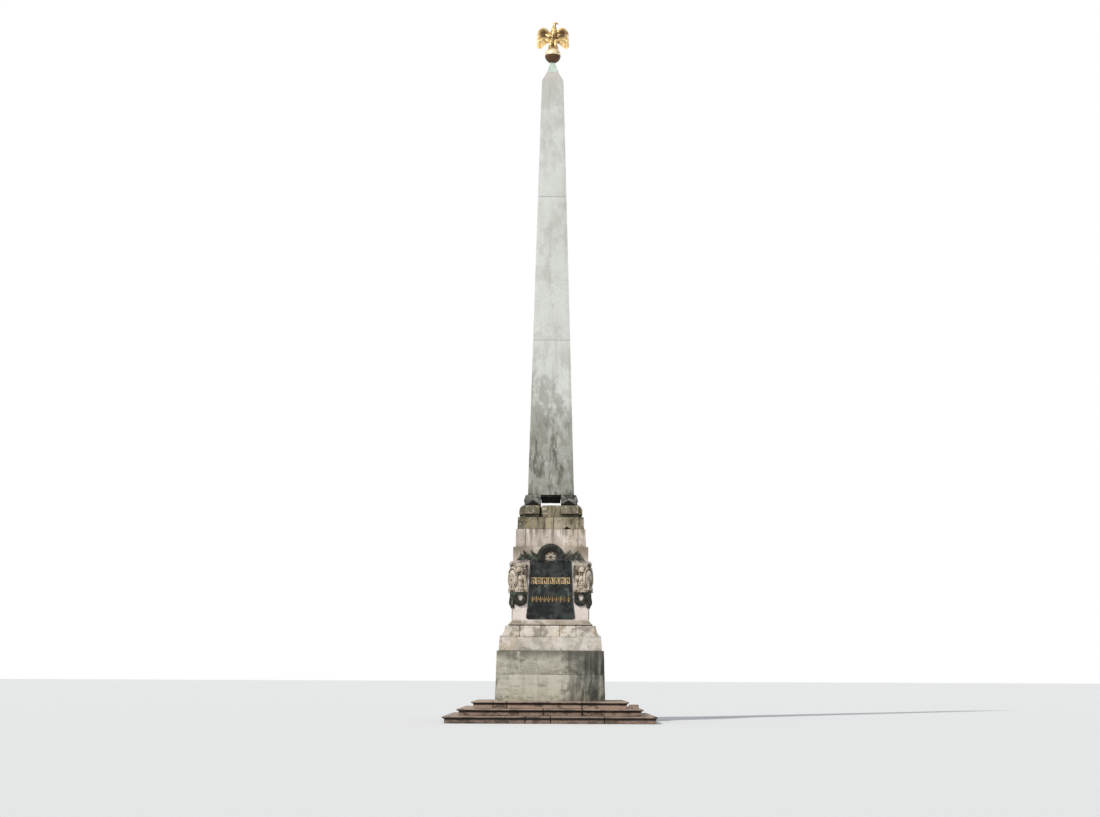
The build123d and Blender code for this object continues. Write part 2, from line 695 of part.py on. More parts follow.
# Profiles from the foot up: level in parts of the trophy, reach in parts of the radius
CUIRASS_PROFILE = ((0.0, 1.1), (0.25, 0.76), (0.43, 1.0), (0.60, 0.4))
HELMET_PROFILE = ((0.62, 1.12), (0.77, 0.9), (0.88, 0.34))
for depth_name, sy in DEPTHS.items():
    for side_name, sx in SIGNS.items():
        with BuildPart() as trophy:
            diagonal = Plane(
                origin=(sx * die_top_half, sy * die_top_half, TROPHY_Z + 0.42 * T),
                x_dir=(-sy, sx, 0),
                z_dir=(sx, sy, 0),
            )
            for out, share in ((-30, 1), (62, 0.84)):
                with BuildSketch(diagonal.offset(out)):
                    Ellipse(share * SHIELD_HALF, share * 0.39 * T)
            loft(ruled=True)
            with BuildSketch(diagonal.offset(50)):
                Ellipse(0.3 * SHIELD_HALF, 0.09 * T)
            extrude(amount=46)
            for face_name, side in corner_faces(sx, sy):
                nx, ny = FACES[face_name]
                behind = face_plane(face_name, die_top_half - 12)
                trunk = behind.from_local_coords((side * arms_x, 0, 22))
                with BuildSketch(Plane(origin=trunk, x_dir=(nx, ny, 0), z_dir=(ny, -nx, 0))):
                    with BuildLine():
                        cuirass = [(reach * CUIRASS_R, TROPHY_Z + level * T) for level, reach in CUIRASS_PROFILE]
                        helmet = [(reach * HELMET_R, TROPHY_Z + level * T) for level, reach in HELMET_PROFILE]
                        Polyline((0, TROPHY_Z), *cuirass, *helmet, (0, helmet[-1][1]), close=True)
                    make_face()
                revolve(axis=Axis(trunk, (0, 0, 1)))
                # Crest along the top of the helmet
                crest_z = TROPHY_Z + 0.78 * T
                with BuildSketch(face_plane(face_name, die_top_half + 10)):
                    with BuildLine():
                        ThreePointArc(
                            (side * arms_x - HELMET_R, crest_z),
                            (side * arms_x, TROPHY_Z + 0.96 * T),
                            (side * arms_x + HELMET_R, crest_z),
                        )
                        Line((side * arms_x + HELMET_R, crest_z), (side * arms_x - HELMET_R, crest_z))
                    make_face()
                extrude(amount=58)
                with BuildSketch(behind):
                    # Flag that hangs in folds from the inner spear
                    with BuildLine():
                        Polyline(
                            (side * (arms_x + 95), TROPHY_Z + 0.72 * T),
                            (side * (arms_x - 115), TROPHY_Z + 0.94 * T),
                            (side * arms_inner, TROPHY_Z + 0.89 * T),
                            (side * (arms_inner + 18), TROPHY_Z + 0.56 * T),
                            (side * (arms_inner + 70), TROPHY_Z + 0.44 * T),
                            (side * (arms_x + 40), TROPHY_Z + 0.30 * T),
                            close=True,
                        )
                    make_face()
                    # Crossed spears, each from its foot to its point
                    for start_x, end_x in ((arms_x + 120, arms_inner + 24), (arms_inner + 40, arms_x + 150)):
                        rise = 0.88 * T
                        lean = math.degrees(math.atan2(rise, side * (end_x - start_x)))
                        with Locations((side * (start_x + end_x) / 2, TROPHY_Z + 0.5 * T)):
                            Rectangle(math.hypot(rise, end_x - start_x), 30, rotation=lean)
                    # Ledge that the arms stand on
                    with Locations((side * (arms_inner + die_top_half - SIDE_GAP) / 2, TROPHY_Z + 0.03 * T)):
                        Rectangle(die_top_half - arms_inner - SIDE_GAP, 0.06 * T)
                extrude(amount=72)
            add(die.part, mode=Mode.SUBTRACT)
        trophy.part.label = f"trophy_{depth_name}_{side_name}"
        export_step(trophy.part, f"parts/trophy_{depth_name}_{side_name}.step")

# Bronze festoons under the trophies: on both faces a swag from a knot, at the corner a drop
swag_z = TROPHY_Z - SWAG_DEPTH + SWAG_R + SWAG_HALF
swag_x = PLAQUE_FOOT_HALF - 26 + SWAG_R + SWAG_HALF
for depth_name, sy in DEPTHS.items():
    for side_name, sx in SIGNS.items():
        with BuildPart() as festoon:
            corner = Plane(origin=(sx * die_top_half, sy * die_top_half, 0), x_dir=(1, 0, 0), z_dir=(0, -1, 0))
            with BuildSketch(corner):
                with BuildLine():
                    Polyline(
                        (0, TROPHY_Z),
                        (0.8 * TAIL_R, TROPHY_Z),
                        (TAIL_R, TROPHY_Z - 0.2 * TAIL_DROP),
                        (0.86 * TAIL_R, TROPHY_Z - 0.62 * TAIL_DROP),
                        (0.5 * TAIL_R, TROPHY_Z - 0.88 * TAIL_DROP),
                        (0, TROPHY_Z - TAIL_DROP),
                        close=True,
                    )
                make_face()
            revolve(axis=Axis(corner.origin, (0, 0, 1)))
            for face_name, side in corner_faces(sx, sy):
                nx, ny = FACES[face_name]
                hang = face_plane(face_name, die_top_half + 24)
                bend = hang.from_local_coords((side * swag_x, swag_z, 0))
                inner = hang.from_local_coords((side * (swag_x - SWAG_HALF), swag_z, 0))
                outer = hang.from_local_coords((side * (swag_x + SWAG_HALF), swag_z, 0))
                # Half a ring of rope below, and its two ends up to the knot
                with BuildSketch(Plane(origin=inner, z_dir=(0, 0, 1))):
                    RegularPolygon(SWAG_R, 6)
                revolve(axis=Axis(bend, (nx, ny, 0)), revolution_arc=180 * side)
                for end in (inner, outer):
                    with BuildSketch(Plane(origin=end, z_dir=(0, 0, 1))):
                        RegularPolygon(SWAG_R, 6)
                    extrude(amount=TROPHY_Z - 40 - swag_z)
                with BuildSketch(face_plane(face_name, die_top_half - 12)):
                    with Locations((side * (swag_x + die_top_half - SWAG_HALF - SWAG_R) / 2, TROPHY_Z - 50)):
                        Rectangle(die_top_half - swag_x + SWAG_HALF + SWAG_R, 100)
                extrude(amount=78)
            add(die.part, mode=Mode.SUBTRACT)
        festoon.part.label = f"festoon_{depth_name}_{side_name}"
        export_step(festoon.part, f"parts/festoon_{depth_name}_{side_name}.step")
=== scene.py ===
import bmesh
import bpy
import math
import random
from mathutils import Matrix, Vector, noise


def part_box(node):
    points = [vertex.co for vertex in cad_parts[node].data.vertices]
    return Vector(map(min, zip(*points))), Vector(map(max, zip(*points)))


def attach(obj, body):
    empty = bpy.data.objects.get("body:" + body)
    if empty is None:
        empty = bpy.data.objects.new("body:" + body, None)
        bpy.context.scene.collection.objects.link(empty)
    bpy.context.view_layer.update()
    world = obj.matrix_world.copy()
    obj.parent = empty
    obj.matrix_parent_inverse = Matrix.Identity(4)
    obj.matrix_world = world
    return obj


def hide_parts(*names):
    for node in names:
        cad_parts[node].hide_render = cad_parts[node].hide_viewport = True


# Looks of the square memorial obelisk. Metres; the front looks toward -Y.

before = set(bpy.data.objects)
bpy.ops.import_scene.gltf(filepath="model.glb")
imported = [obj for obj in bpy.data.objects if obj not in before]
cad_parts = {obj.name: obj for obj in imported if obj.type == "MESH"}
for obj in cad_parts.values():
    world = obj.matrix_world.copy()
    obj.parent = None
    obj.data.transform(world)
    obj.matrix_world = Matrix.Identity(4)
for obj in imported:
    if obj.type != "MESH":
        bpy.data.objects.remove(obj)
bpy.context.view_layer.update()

# Camera of the photograph: 1100 x 817 points, upright but tilted up
PHOTO_WIDTH = 1100
FOCAL_POINTS = 1681.3
SENSOR_WIDTH = 36
CAMERA_DISTANCE = 49.0
CAMERA_HEIGHT = 1.2238
CAMERA_SHIFT = -0.038
CAMERA_TILT = 9.1066
CAMERA_ROLL = 0.25

# Open joints between stones, rubbed arrises, how far the mortar lies back, and the steps
JOINT = 0.007
STEP_JOINT = 0.02
ARRIS = 0.009
MORTAR_BACK = 0.045
STEP_DEPTH = 0.72
STEP_RISE = 0.195
STEP_NOSING = 0.062
STEP_SIDE_JOINTS = (-0.75, 0.62)

# Joints of the steps on the front, sideways from the middle; the back has them in reverse
STEP_JOINTS = {
    "step_bottom": (-0.67, 0.01, 1.47),
    "step_middle": (-0.19, 0.88),
    "step_top": (-1.57, -1.19, 0.88),
}

# Courses: look, depth of the ring of stones, joints on the front, and joints on the sides
COURSES = {
    "base_lower_course": ("grey_granite", 0.42, (), ()),
    "base_upper_course": ("grey_granite", 0.36, (), ()),
    "batter_course": ("veined_marble", 0.5, (), (0.3,)),
    "hollow_course": ("veined_marble", 0.5, (-0.86, -0.267, 0.261, 0.72), (-0.3, 0.42)),
    "lower_shoulder_course": ("veined_marble", 0.4, (-0.725, 0.78), (0.1,)),
    "upper_shoulder_course": ("weathered_sandstone", 0.4, (-0.163, 0.083, 0.696), (-0.1,)),
}

# The cap's open joint, and how much deeper than the tenon its packing is drawn
CAP_JOINT_X = -0.27
CAP_GAP = 0.052
TENON_DRAWN = 1.42

# Edges that turn more than this are rubbed round, or shaded as sharp
RUBBED_TURN = math.radians(28)
SHARP_TURN = math.radians(38)

# Wear of a stone: broad and fine waves in each metre, and bites out of its edges above a floor
BROAD_WEAR = 2.3
FINE_WEAR = 9
EDGE_BITES = 5.5
BITE_FLOOR = 0.18

# Relief on the die and the plaques: how far it stands out, reach, height and number of its parts
PLAQUE_PROUD = 0.032
PLAQUE_SUNK = 0.012
WREATH_R = 0.376
WREATH_BAND = 0.112
MEDALLION_R = 0.187
BAND_HALF = 0.57
BAND_HEIGHT = 0.19
UPPER_BAND_Z = 3.945
LOWER_BAND_Z = 3.443
KEY_COUNT = 7
LEAF_COUNT = 10
ARMS_INNER = 0.64
SWAG_HALF = 0.132
SWAG_GAP = 0.034
SWAG_DROP = 0.324
DROP_LENGTH = 0.46

# Section of the ribbon over a swag: level, and reach out of the die
RIBBON_SECTION = ((0.045, 0), (0.04, 0.05), (-0.04, 0.05), (-0.045, 0))

# Laurel sprays: place along the stem, length in leaf lengths, lean in degrees
SPRAY_LENGTH = 0.645
SPRAY_RISE = 0.092
LEAF_LENGTH = 0.21
LEAF_WIDTH = 0.098
SPRAY_LEAVES = (
    (0.02, 0.95, 42),
    (0.04, 0.95, -27),
    (0.14, 1.28, 54),
    (0.16, 0.9, 20),
    (0.28, 1.0, -27),
    (0.32, 1.05, 34),
    (0.46, 1.28, 51),
    (0.50, 0.95, 8),
    (0.53, 0.98, -26),
    (0.58, 0.95, 28),
    (0.66, 1.15, -22),
)

# Eagle's body: height over the perch, place sideways and in depth, half width, half depth
EAGLE_SECTIONS = (
    (0.09, 0.012, 0.052, 0.045, 0.045),
    (0.15, 0.016, 0.044, 0.078, 0.078),
    (0.24, 0.022, 0.030, 0.104, 0.100),
    (0.34, 0.028, 0.012, 0.120, 0.112),
    (0.44, 0.034, 0.000, 0.118, 0.106),
    (0.53, 0.038, -0.006, 0.094, 0.088),
    (0.60, 0.040, -0.008, 0.068, 0.068),
    (0.67, 0.040, -0.012, 0.052, 0.056),
    (0.73, 0.046, -0.020, 0.046, 0.050),
    (0.77, 0.054, -0.026, 0.044, 0.046),
)

# Eagle's wing from the breast out: the arm, and where the long feathers end
WING_ARM = (
    (0.064, 0.02, 0.40),
    (0.13, -0.01, 0.488),
    (0.20, -0.032, 0.566),
    (0.27, -0.04, 0.607),
    (0.35, -0.03, 0.60),
    (0.428, -0.01, 0.53),
    (0.468, 0.012, 0.42),
)
WING_TIPS = (
    (0.12, 0.045, 0.20),
    (0.18, 0.04, 0.15),
    (0.245, 0.03, 0.09),
    (0.31, 0.02, 0.03),
    (0.37, 0.01, -0.022),
    (0.43, 0.004, -0.024),
    (0.478, 0.008, -0.012),
)

# Long feathers, then rows of shorter ones on both sides: count, length, width, depth, thickness
WING_ROWS = (
    (17, 1.0, 0.05, 0.0, 0.0055),
    (15, 0.62, 0.05, -0.013, 0.006),
    (14, 0.4, 0.048, -0.026, 0.006),
    (15, 0.62, 0.05, 0.013, 0.006),
    (14, 0.38, 0.048, 0.026, 0.006),
    (13, 0.2, 0.042, -0.036, 0.006),
)

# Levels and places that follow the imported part
plaque_low, plaque_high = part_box("plaque_front")
ball_low, ball_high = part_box("ball")
DIE_FACE = -plaque_low.y - PLAQUE_PROUD
PLAQUE_FIELD = -plaque_low.y - PLAQUE_SUNK
PLAQUE_HALF = -plaque_low.x
PLAQUE_TOP_Z = plaque_high.z
WREATH_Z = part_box("medallion_front")[1].z - MEDALLION_R
SPRAY_Z = PLAQUE_TOP_Z + SPRAY_RISE
TROPHY_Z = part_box("festoon_front_right")[1].z
TROPHY_TALL = PLAQUE_TOP_Z - TROPHY_Z
BALL_R = (ball_high.x - ball_low.x) / 2
BALL = Vector((0, 0, (ball_high.z + ball_low.z) / 2))
PERCH = Vector((0, 0, ball_high.z))
SHAFT_FOOT_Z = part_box("shaft_support_front_left")[1].z
DIE_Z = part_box("die")[0].z

UP = Vector((0, 0, 1))
FRONT = Vector((0, -1, 0))
BACK = Vector((0, 1, 0))
RIGHT = Vector((1, 0, 0))
FACE_NAMES = ("front", "right", "back", "left")
RICH_FACES = ((0, "front"), (2, "back"))
CORNER_NAMES = ("front_right", "back_right", "back_left", "front_left")


def colour(red, green, blue):
    """A display colour of 0 to 255 as a linear shader colour."""
    linear = []
    for value in (red, green, blue):
        share = value / 255
        linear.append(share / 12.92 if share <= 0.04045 else ((share + 0.055) / 1.055) ** 2.4)
    return (*linear, 1)


class Nodes:
    """Shader nodes, each added with its inputs set or linked."""

    def __init__(self, tree):
        self.tree = tree

    def put(self, socket, value):
        """Links a socket, or sets it where the value is a plain one."""
        if isinstance(value, bpy.types.NodeSocket):
            self.tree.links.new(value, socket)
        else:
            socket.default_value = value

    def node(self, kind, output, inputs=None, **settings):
        """Adds a node and gives back one of its outputs."""
        made = self.tree.nodes.new(kind)
        for key, value in settings.items():
            setattr(made, key, value)
        for key, value in (inputs or {}).items():
            self.put(made.inputs[key], value)
        return made.outputs[output]

    def math(self, operation, first, second=0.0):
        return self.node("ShaderNodeMath", 0, {0: first, 1: second}, operation=operation)

    def times(self, value, *more):
        """A product of values and plain numbers."""
        for factor in more:
            value = self.math("MULTIPLY", value, factor)
        return value


class Look(Nodes):
    """A material painted layer over layer, in the object's own metres."""

    def __init__(self, name, tint, roughness=0.8, metallic=0.0, specular=0.5):
        self.material = bpy.data.materials.new(name)
        self.material.use_nodes = True
        super().__init__(self.material.node_tree)
        self.surface = self.tree.nodes["Principled BSDF"]
        self.set("Roughness", roughness)
        self.set("Metallic", metallic)
        self.set("Specular IOR Level", specular)
        self.body = colour(*tint)
        self.place = self.node("ShaderNodeTexCoord", "Object")
        self.normal = self.node("ShaderNodeNewGeometry", "Normal")
        self.height = self.part(self.place, "Z")
        self.up = self.part(self.normal, "Z")

    def set(self, name, value):
        self.put(self.surface.inputs[name], value)

    def part(self, vector, letter):
        return self.node("ShaderNodeSeparateXYZ", letter, {"Vector": vector})

    def sideways(self):
        """How far a point lies from the middle along both level axes."""
        return [self.math("ABSOLUTE", self.part(self.place, letter)) for letter in "XY"]

    def along_face(self):
        """How far to the viewer's right a point lies on the face that it belongs to."""
        first = self.times(self.part(self.place, "Y"), self.part(self.normal, "X"))
        second = self.times(self.part(self.place, "X"), self.part(self.normal, "Y"))
        return self.math("SUBTRACT", first, second)

    def mark(self, name):
        """A number kept with the points: the tone of a stone or the shade of a carving."""
        return self.node("ShaderNodeAttribute", "Fac", attribute_name=name)

    def noise(self, scale, detail=5.0, roughness=0.6, stretch=(1, 1, 1), swirl=0.0):
        values = {"Scale": scale, "Detail": detail, "Roughness": roughness, "Distortion": swirl}
        values["Vector"] = self.node("ShaderNodeMapping", "Vector", {"Vector": self.place, "Scale": stretch})
        return self.node("ShaderNodeTexNoise", "Fac", values)

    def span(self, value, low, high, to_low=0.0, to_high=1.0):
        """A smooth step between two values."""
        values = {"Value": value, "From Min": low, "From Max": high, "To Min": to_low, "To Max": to_high}
        return self.node("ShaderNodeMapRange", "Result", values, interpolation_type="SMOOTHSTEP")

    def fall(self, value, low, high):
        return self.span(value, low, high, 1.0, 0.0)

    def patches(self, scale, low, high, **pattern):
        """Patches where a pattern of noise is high."""
        return self.span(self.noise(scale, **pattern), low, high)

    def mix(self, share, first, second, mode="MIX"):
        inputs = {0: share, 6: first, 7: second}
        return self.node("ShaderNodeMix", 2, inputs, data_type="RGBA", blend_type=mode)

    def lay(self, tint, share, *amounts):
        """Lays a tint over the body, as far as the product of the shares says."""
        self.body = self.mix(self.times(share, *amounts), self.body, colour(*tint))

    def blot(self, tint, scale, low, high, amount=1.0, **pattern):
        """Lays patches of a tint over the body."""
        self.lay(tint, self.patches(scale, low, high, **pattern), amount)

    def grain(self, pale, dark, scale):
        """Speckled crystals: pale ones, and finer dark ones over them."""
        self.blot(pale, scale, 0.52, 0.62, detail=2, roughness=0.5)
        self.blot(dark, scale * 1.7, 0.58, 0.66, detail=2, roughness=0.5, stretch=(1.1, 0.9, 1.3))

    def tone(self, amount):
        """Makes each stone a little lighter or darker than its neighbours."""
        grey = self.span(self.mark("tone"), 0, 1, 1 - amount, 1 + amount)
        shade = self.node("ShaderNodeCombineColor", 0, {0: grey, 1: grey, 2: grey})
        self.body = self.mix(1.0, self.body, shade, mode="MULTIPLY")

    def done(self, *bumps):
        """Paints the surface and makes it uneven: scale, detail, depth and strength of each bump."""
        self.set("Base Color", self.body)
        normal = None
        for scale, detail, depth, strength in bumps:
            values = {"Height": self.noise(scale, detail), "Distance": depth, "Strength": strength}
            if normal is not None:
                values["Normal"] = normal
            normal = self.node("ShaderNodeBump", "Normal", values)
            self.set("Normal", normal)
        return self.material


def red_granite():
    look = Look("red_granite", (156, 132, 116), roughness=0.85)
    look.grain((194, 171, 156), (98, 81, 70), 46)
    look.blot((172, 149, 132), 1.7, 0.48, 0.62, 0.6)
    look.blot((74, 60, 50), 3.0, 0.48, 0.62, 0.8, stretch=(1, 1, 2.2))
    look.blot((116, 106, 72), 4.4, 0.58, 0.68, 0.5)
    look.tone(0.2)
    # Darker at the ground, painted shadow under each nosing and on what faces down, and dust with painted top
    # light on the treads
    look.lay((66, 54, 45), look.fall(look.height, 0.16, 0.22), 0.35)
    # Painted shadow in a band just under each nosing
    rise = look.math("FRACT", look.math("DIVIDE", look.height, STEP_RISE))
    under = look.times(look.span(rise, 0.34, 0.66), look.fall(look.up, 0.2, 0.5))
    look.lay((30, 24, 20), under, look.span(rise, 0.71, 0.76, 0.97, 0.24))
    look.lay((206, 189, 174), look.span(look.up, 0.5, 0.95), look.patches(4, 0.28, 0.6), 0.66)
    # Painted shade on what faces down
    look.lay((26, 21, 18), look.fall(look.up, -0.6, -0.1))
    return look.done((70, 3, 0.004, 0.5), (9, 6, 0.014, 0.6))


def grey_granite():
    look = Look("grey_granite", (164, 160, 145))
    height = look.height
    look.grain((192, 188, 172), (112, 109, 97), 50)
    look.blot((196, 191, 176), 0.9, 0.46, 0.58, 0.7, detail=7, swirl=0.5)
    look.lay((204, 200, 186), look.span(height, 1.31, 1.335, 0.55, 0.0))
    look.blot((92, 91, 80), 1.45, 0.52, 0.64, 0.75, detail=8, roughness=0.68, swirl=0.8)
    look.blot((112, 110, 98), 4.0, 0.48, 0.68, 0.5, stretch=(0.5, 0.5, 1.5), swirl=1.2)
    look.blot((206, 202, 188), 7.0, 0.52, 0.64, 0.5, stretch=(1, 1, 0.2))
    look.blot((76, 75, 65), 3.4, 0.55, 0.68, 0.75, detail=6, stretch=(1, 1, 0.09))
    # Rain streaks and painted tree shadow gather toward one end of each face
    along = look.along_face()
    streaks_and_tree_shadow = look.patches(3.1, 0.25, 0.58, detail=8, roughness=0.7, stretch=(1, 1, 0.2), swirl=0.5)
    look.lay((50, 51, 45), look.span(along, 0.15, 1.0), look.span(along, 1.3, 1.42, 1.0, 0.45), streaks_and_tree_shadow)
    # Moss at the foot, and a dark rim at the top, part stain and part painted shadow
    look.lay((134, 126, 92), look.fall(height, 0.58, 0.95), look.patches(4, 0.42, 0.62), 0.45)
    rim = look.patches(3, 0.3, 0.52, stretch=(1, 1, 0.3))
    look.lay((84, 82, 72), look.span(height, 1.66, 1.97), rim, 0.78)
    return look.done((80, 3, 0.003, 0.4), (6, 6, 0.014, 0.4))


def veined_marble():
    look = Look("veined_marble", (226, 214, 206), roughness=0.66)
    height = look.height
    high = look.span(height, 4.35, 4.95)
    low = look.times(look.fall(height, 2.72, 2.92), look.span(height, 2.34, 2.38, 0.45, 1.0))
    look.blot((206, 192, 182), 1.1, 0.36, 0.64, detail=6)
    look.lay((208, 203, 190), look.span(height, 2.64, 2.7, 0.7, 0.0))
    look.lay((186, 175, 160), high, 0.38)
    # Soot on the upper corners, streaks from above, and stain with painted tree shadow on the flared foot
    corner = look.span(look.math("MINIMUM", *look.sideways()), 0.42, 0.9)
    look.lay((110, 101, 85), high, corner, look.fall(height, 4.9, 4.94), 0.95)
    streak = look.patches(5, 0.47, 0.6, detail=7, roughness=0.7, stretch=(1, 1, 0.12))
    look.lay((138, 123, 102), streak, look.span(high, 0, 1, 0.1, 0.66))
    # Stain and painted tree shadow in a band over the flared foot
    look.lay((150, 140, 120), look.span(height, 2.66, 2.69), look.fall(height, 2.8, 2.88), 0.6)
    stain = look.patches(2.6, 0.47, 0.58, detail=8, roughness=0.66, swirl=0.5)
    look.lay((122, 114, 98), stain, look.span(low, 0, 1, 0.14, 0.8))
    # Clouds and veins, and the clean middle of the die
    look.blot((200, 176, 148), 1.3, 0.54, 0.68, 0.35, stretch=(1, 1, 0.5))
    look.blot((236, 226, 220), 2.1, 0.54, 0.64, 0.6, stretch=(1, 1, 0.6))
    look.blot((104, 92, 78), 6.5, 0.57, 0.67, 0.55, detail=8, roughness=0.75)
    look.lay((230, 219, 211), look.span(height, 2.8, 2.95), look.fall(height, 3.5, 4.1), 0.7)
    vein = look.math("ABSOLUTE", look.math("SUBTRACT", look.noise(2.2, detail=8, swirl=1.4), 0.5))
    look.lay((150, 134, 124), look.fall(vein, 0.0, 0.022), 0.3)
    drip = look.patches(9, 0.46, 0.6, stretch=(1, 1, 0.05))
    look.lay((92, 82, 66), look.span(height, 5.02, 5.42), drip, 0.75)
    look.tone(0.08)
    # Dark bed that the die stands on
    bed = look.times(look.span(height, DIE_Z, DIE_Z + 0.004), look.fall(height, DIE_Z + 0.02, DIE_Z + 0.036))
    look.lay((56, 48, 39), bed, 0.92)
    return look.done((28, 6, 0.004, 0.4), (5, 5, 0.012, 0.35))


def weathered_sandstone():
    look = Look("weathered_sandstone", (104, 95, 74), roughness=0.95)
    cap = look.span(look.height, 5.7, 5.8)
    sideways = look.sideways()
    look.blot((160, 150, 128), 2.4, 0.36, 0.58, detail=7)
    look.lay((108, 102, 84), cap, 0.72)
    look.blot((70, 62, 45), 5.5, 0.49, 0.61, 0.8, detail=7, roughness=0.7, stretch=(1, 1, 0.15))
    look.blot((168, 154, 98), 3.6, 0.52, 0.66, 0.6, detail=7, stretch=(1, 1, 0.4))
    # Pale middle of the shoulder, corners of the cap painted black as in shade, and lichen
    aside = look.math("ABSOLUTE", look.math("SUBTRACT", look.along_face(), 0.12))
    look.lay((186, 174, 154), look.span(aside, 0.1, 0.45, 0.5, 0.0), look.fall(cap, 0, 1))
    look.lay((46, 44, 30), cap, look.span(look.math("MINIMUM", *sideways), 0.78, 0.87), 0.85)
    lichen = look.patches(15, 0.52, 0.62, detail=6, roughness=0.72)
    look.lay((214, 204, 186), lichen, look.patches(1.5, 0.48, 0.58, detail=4))
    look.blot((60, 55, 43), 10, 0.57, 0.68, 0.6)
    look.tone(0.18)
    # Painted shade, nearly black, in the chipped edge and on what faces down
    deep = look.fall(look.math("MAXIMUM", *sideways), 0.91, 0.94)
    chip_shade = look.times(deep, look.fall(look.height, 5.5, 5.54))
    look.lay((24, 21, 17), look.math("MAXIMUM", chip_shade, look.fall(look.up, -0.6, -0.12)))
    return look.done((34, 6, 0.007, 0.7), (8, 6, 0.022, 0.6))


def dark_support_stone():
    look = Look("dark_support_stone", (80, 80, 76), roughness=0.9)
    look.blot((148, 145, 137), 5, 0.4, 0.62, detail=7)
    look.blot((34, 34, 34), 3.6, 0.48, 0.61, 0.88, detail=7)
    look.blot((170, 167, 160), 9, 0.57, 0.67, 0.6)
    # What faces down is painted black, as in shade
    look.lay((16, 16, 17), look.fall(look.up, -0.3, -0.02))
    return look.done((30, 6, 0.006, 0.6))


def shaft_granite():
    look = Look("shaft_granite", (212, 214, 209), roughness=0.75)
    foot = look.fall(look.height, 7.7, 9.3)
    low = look.fall(look.height, 8.6, 12.0)
    look.grain((228, 229, 225), (174, 174, 168), 44)
    look.lay((208, 200, 192), look.span(look.height, 19.0, 19.1), 0.8)
    look.blot((188, 187, 180), 1.4, 0.46, 0.6, 0.7, detail=8, roughness=0.7, stretch=(1, 1, 0.6))
    # The lower half is mottled and streaked, most at its foot: stains with painted dappled tree shadow
    look.lay((142, 141, 131), foot, 0.72)
    look.lay((190, 190, 180), foot, look.patches(3.1, 0.5, 0.64, detail=7), 0.7)
    mottle_and_tree_shadow = look.patches(2.2, 0.46, 0.58, detail=8, roughness=0.7, stretch=(1, 1, 0.5))
    look.lay((126, 124, 112), mottle_and_tree_shadow, look.span(low, 0, 1, 0.08, 0.6))
    mottle_and_tree_shadow = look.patches(4.2, 0.48, 0.59, detail=8, roughness=0.72, stretch=(1, 1, 0.3))
    look.lay((86, 85, 73), mottle_and_tree_shadow, foot, 0.85)
    streak = look.patches(6, 0.54, 0.68, detail=6, stretch=(1, 1, 0.05))
    look.lay((150, 148, 138), streak, look.span(low, 0, 1, 0.2, 0.5))
    # The packing below the shaft's foot is painted black as the shade under the shaft, and what faces down is
    # painted as in shade
    look.lay((15, 14, 13), look.span(look.height, SHAFT_FOOT_Z - 0.02, SHAFT_FOOT_Z, 0.97, 0.0))
    look.lay((20, 19, 17), look.fall(look.up, -0.9, -0.5))
    return look.done((60, 4, 0.004, 0.4), (5, 6, 0.012, 0.3))


def pale_cap_stone():
    look = Look("pale_cap_stone", (206, 220, 210), roughness=0.7)
    look.blot((184, 198, 186), 6, 0.4, 0.62, detail=6)
    look.blot((150, 164, 150), 14, 0.55, 0.68, 0.7, stretch=(1, 1, 0.2))
    return look.done((40, 5, 0.003, 0.4))


def gilding(name, bright, dull, brown, metallic, under):
    look = Look(name, bright, specular=0.3)
    look.blot(dull, 14, 0.4, 0.62)
    look.blot(brown, 11, 0.54, 0.66, 0.6, detail=6, roughness=0.7)
    # Painted shade in the hollows, and tarnish with painted shade on what faces down, are brown and no metal
    below = look.fall(look.up, *under)
    shade = look.mark("shade")
    look.lay(brown, below, 0.96)
    look.lay(brown, shade)
    look.set("Metallic", look.span(look.math("MAXIMUM", below, shade), 0, 1, metallic, 0.1))
    look.set("Roughness", look.span(look.noise(22), 0.35, 0.7, 0.24, 0.42))
    return look.done((60, 3, 0.002, 0.3))


def dark_green_stone():
    look = Look("dark_green_stone", (27, 30, 29), specular=0.25)
    look.blot((58, 62, 60), 3.4, 0.4, 0.62, detail=7, swirl=0.6)
    look.blot((62, 82, 74), 2.1, 0.53, 0.65, 0.5, detail=6, swirl=0.8)
    look.blot((116, 130, 124), 3.8, 0.56, 0.67, 0.5, detail=7, stretch=(1, 1, 0.6))
    look.blot((12, 13, 13), 4.4, 0.5, 0.6, 0.85, detail=7)
    look.set("Roughness", look.span(look.noise(8), 0.3, 0.7, 0.5, 0.75))
    return look.done((40, 4, 0.001, 0.3))


def dark_bronze():
    look = Look("dark_bronze", (26, 26, 22), roughness=0.55, metallic=0.2)
    look.blot((64, 62, 52), 12, 0.4, 0.62, detail=6)
    look.blot((84, 98, 84), 6, 0.52, 0.64, 0.6)
    look.blot((110, 94, 72), 4, 0.54, 0.64, 0.55)
    # Tops painted lighter as lit from above, and the marked hollows black as painted shade
    look.lay((114, 112, 96), look.span(look.up, 0.2, 0.85), 0.36)
    look.lay((10, 10, 9), look.mark("shade"))
    return look.done((50, 5, 0.003, 0.4))


def carved_marble():
    look = Look("carved_marble", (220, 208, 192), roughness=0.7)
    look.blot((190, 175, 156), 5, 0.38, 0.62, detail=6)
    look.blot((156, 132, 102), 7, 0.5, 0.63, 0.7)
    look.blot((64, 54, 44), 9, 0.53, 0.62, 0.7, detail=7, roughness=0.7)
    # What faces down is painted dark as in shade, and the marked hollows black, as soot and painted shade
    look.lay((40, 34, 29), look.fall(look.up, -0.5, -0.05), 0.8)
    look.lay((26, 22, 19), look.mark("shade"))
    return look.done((45, 5, 0.003, 0.5))


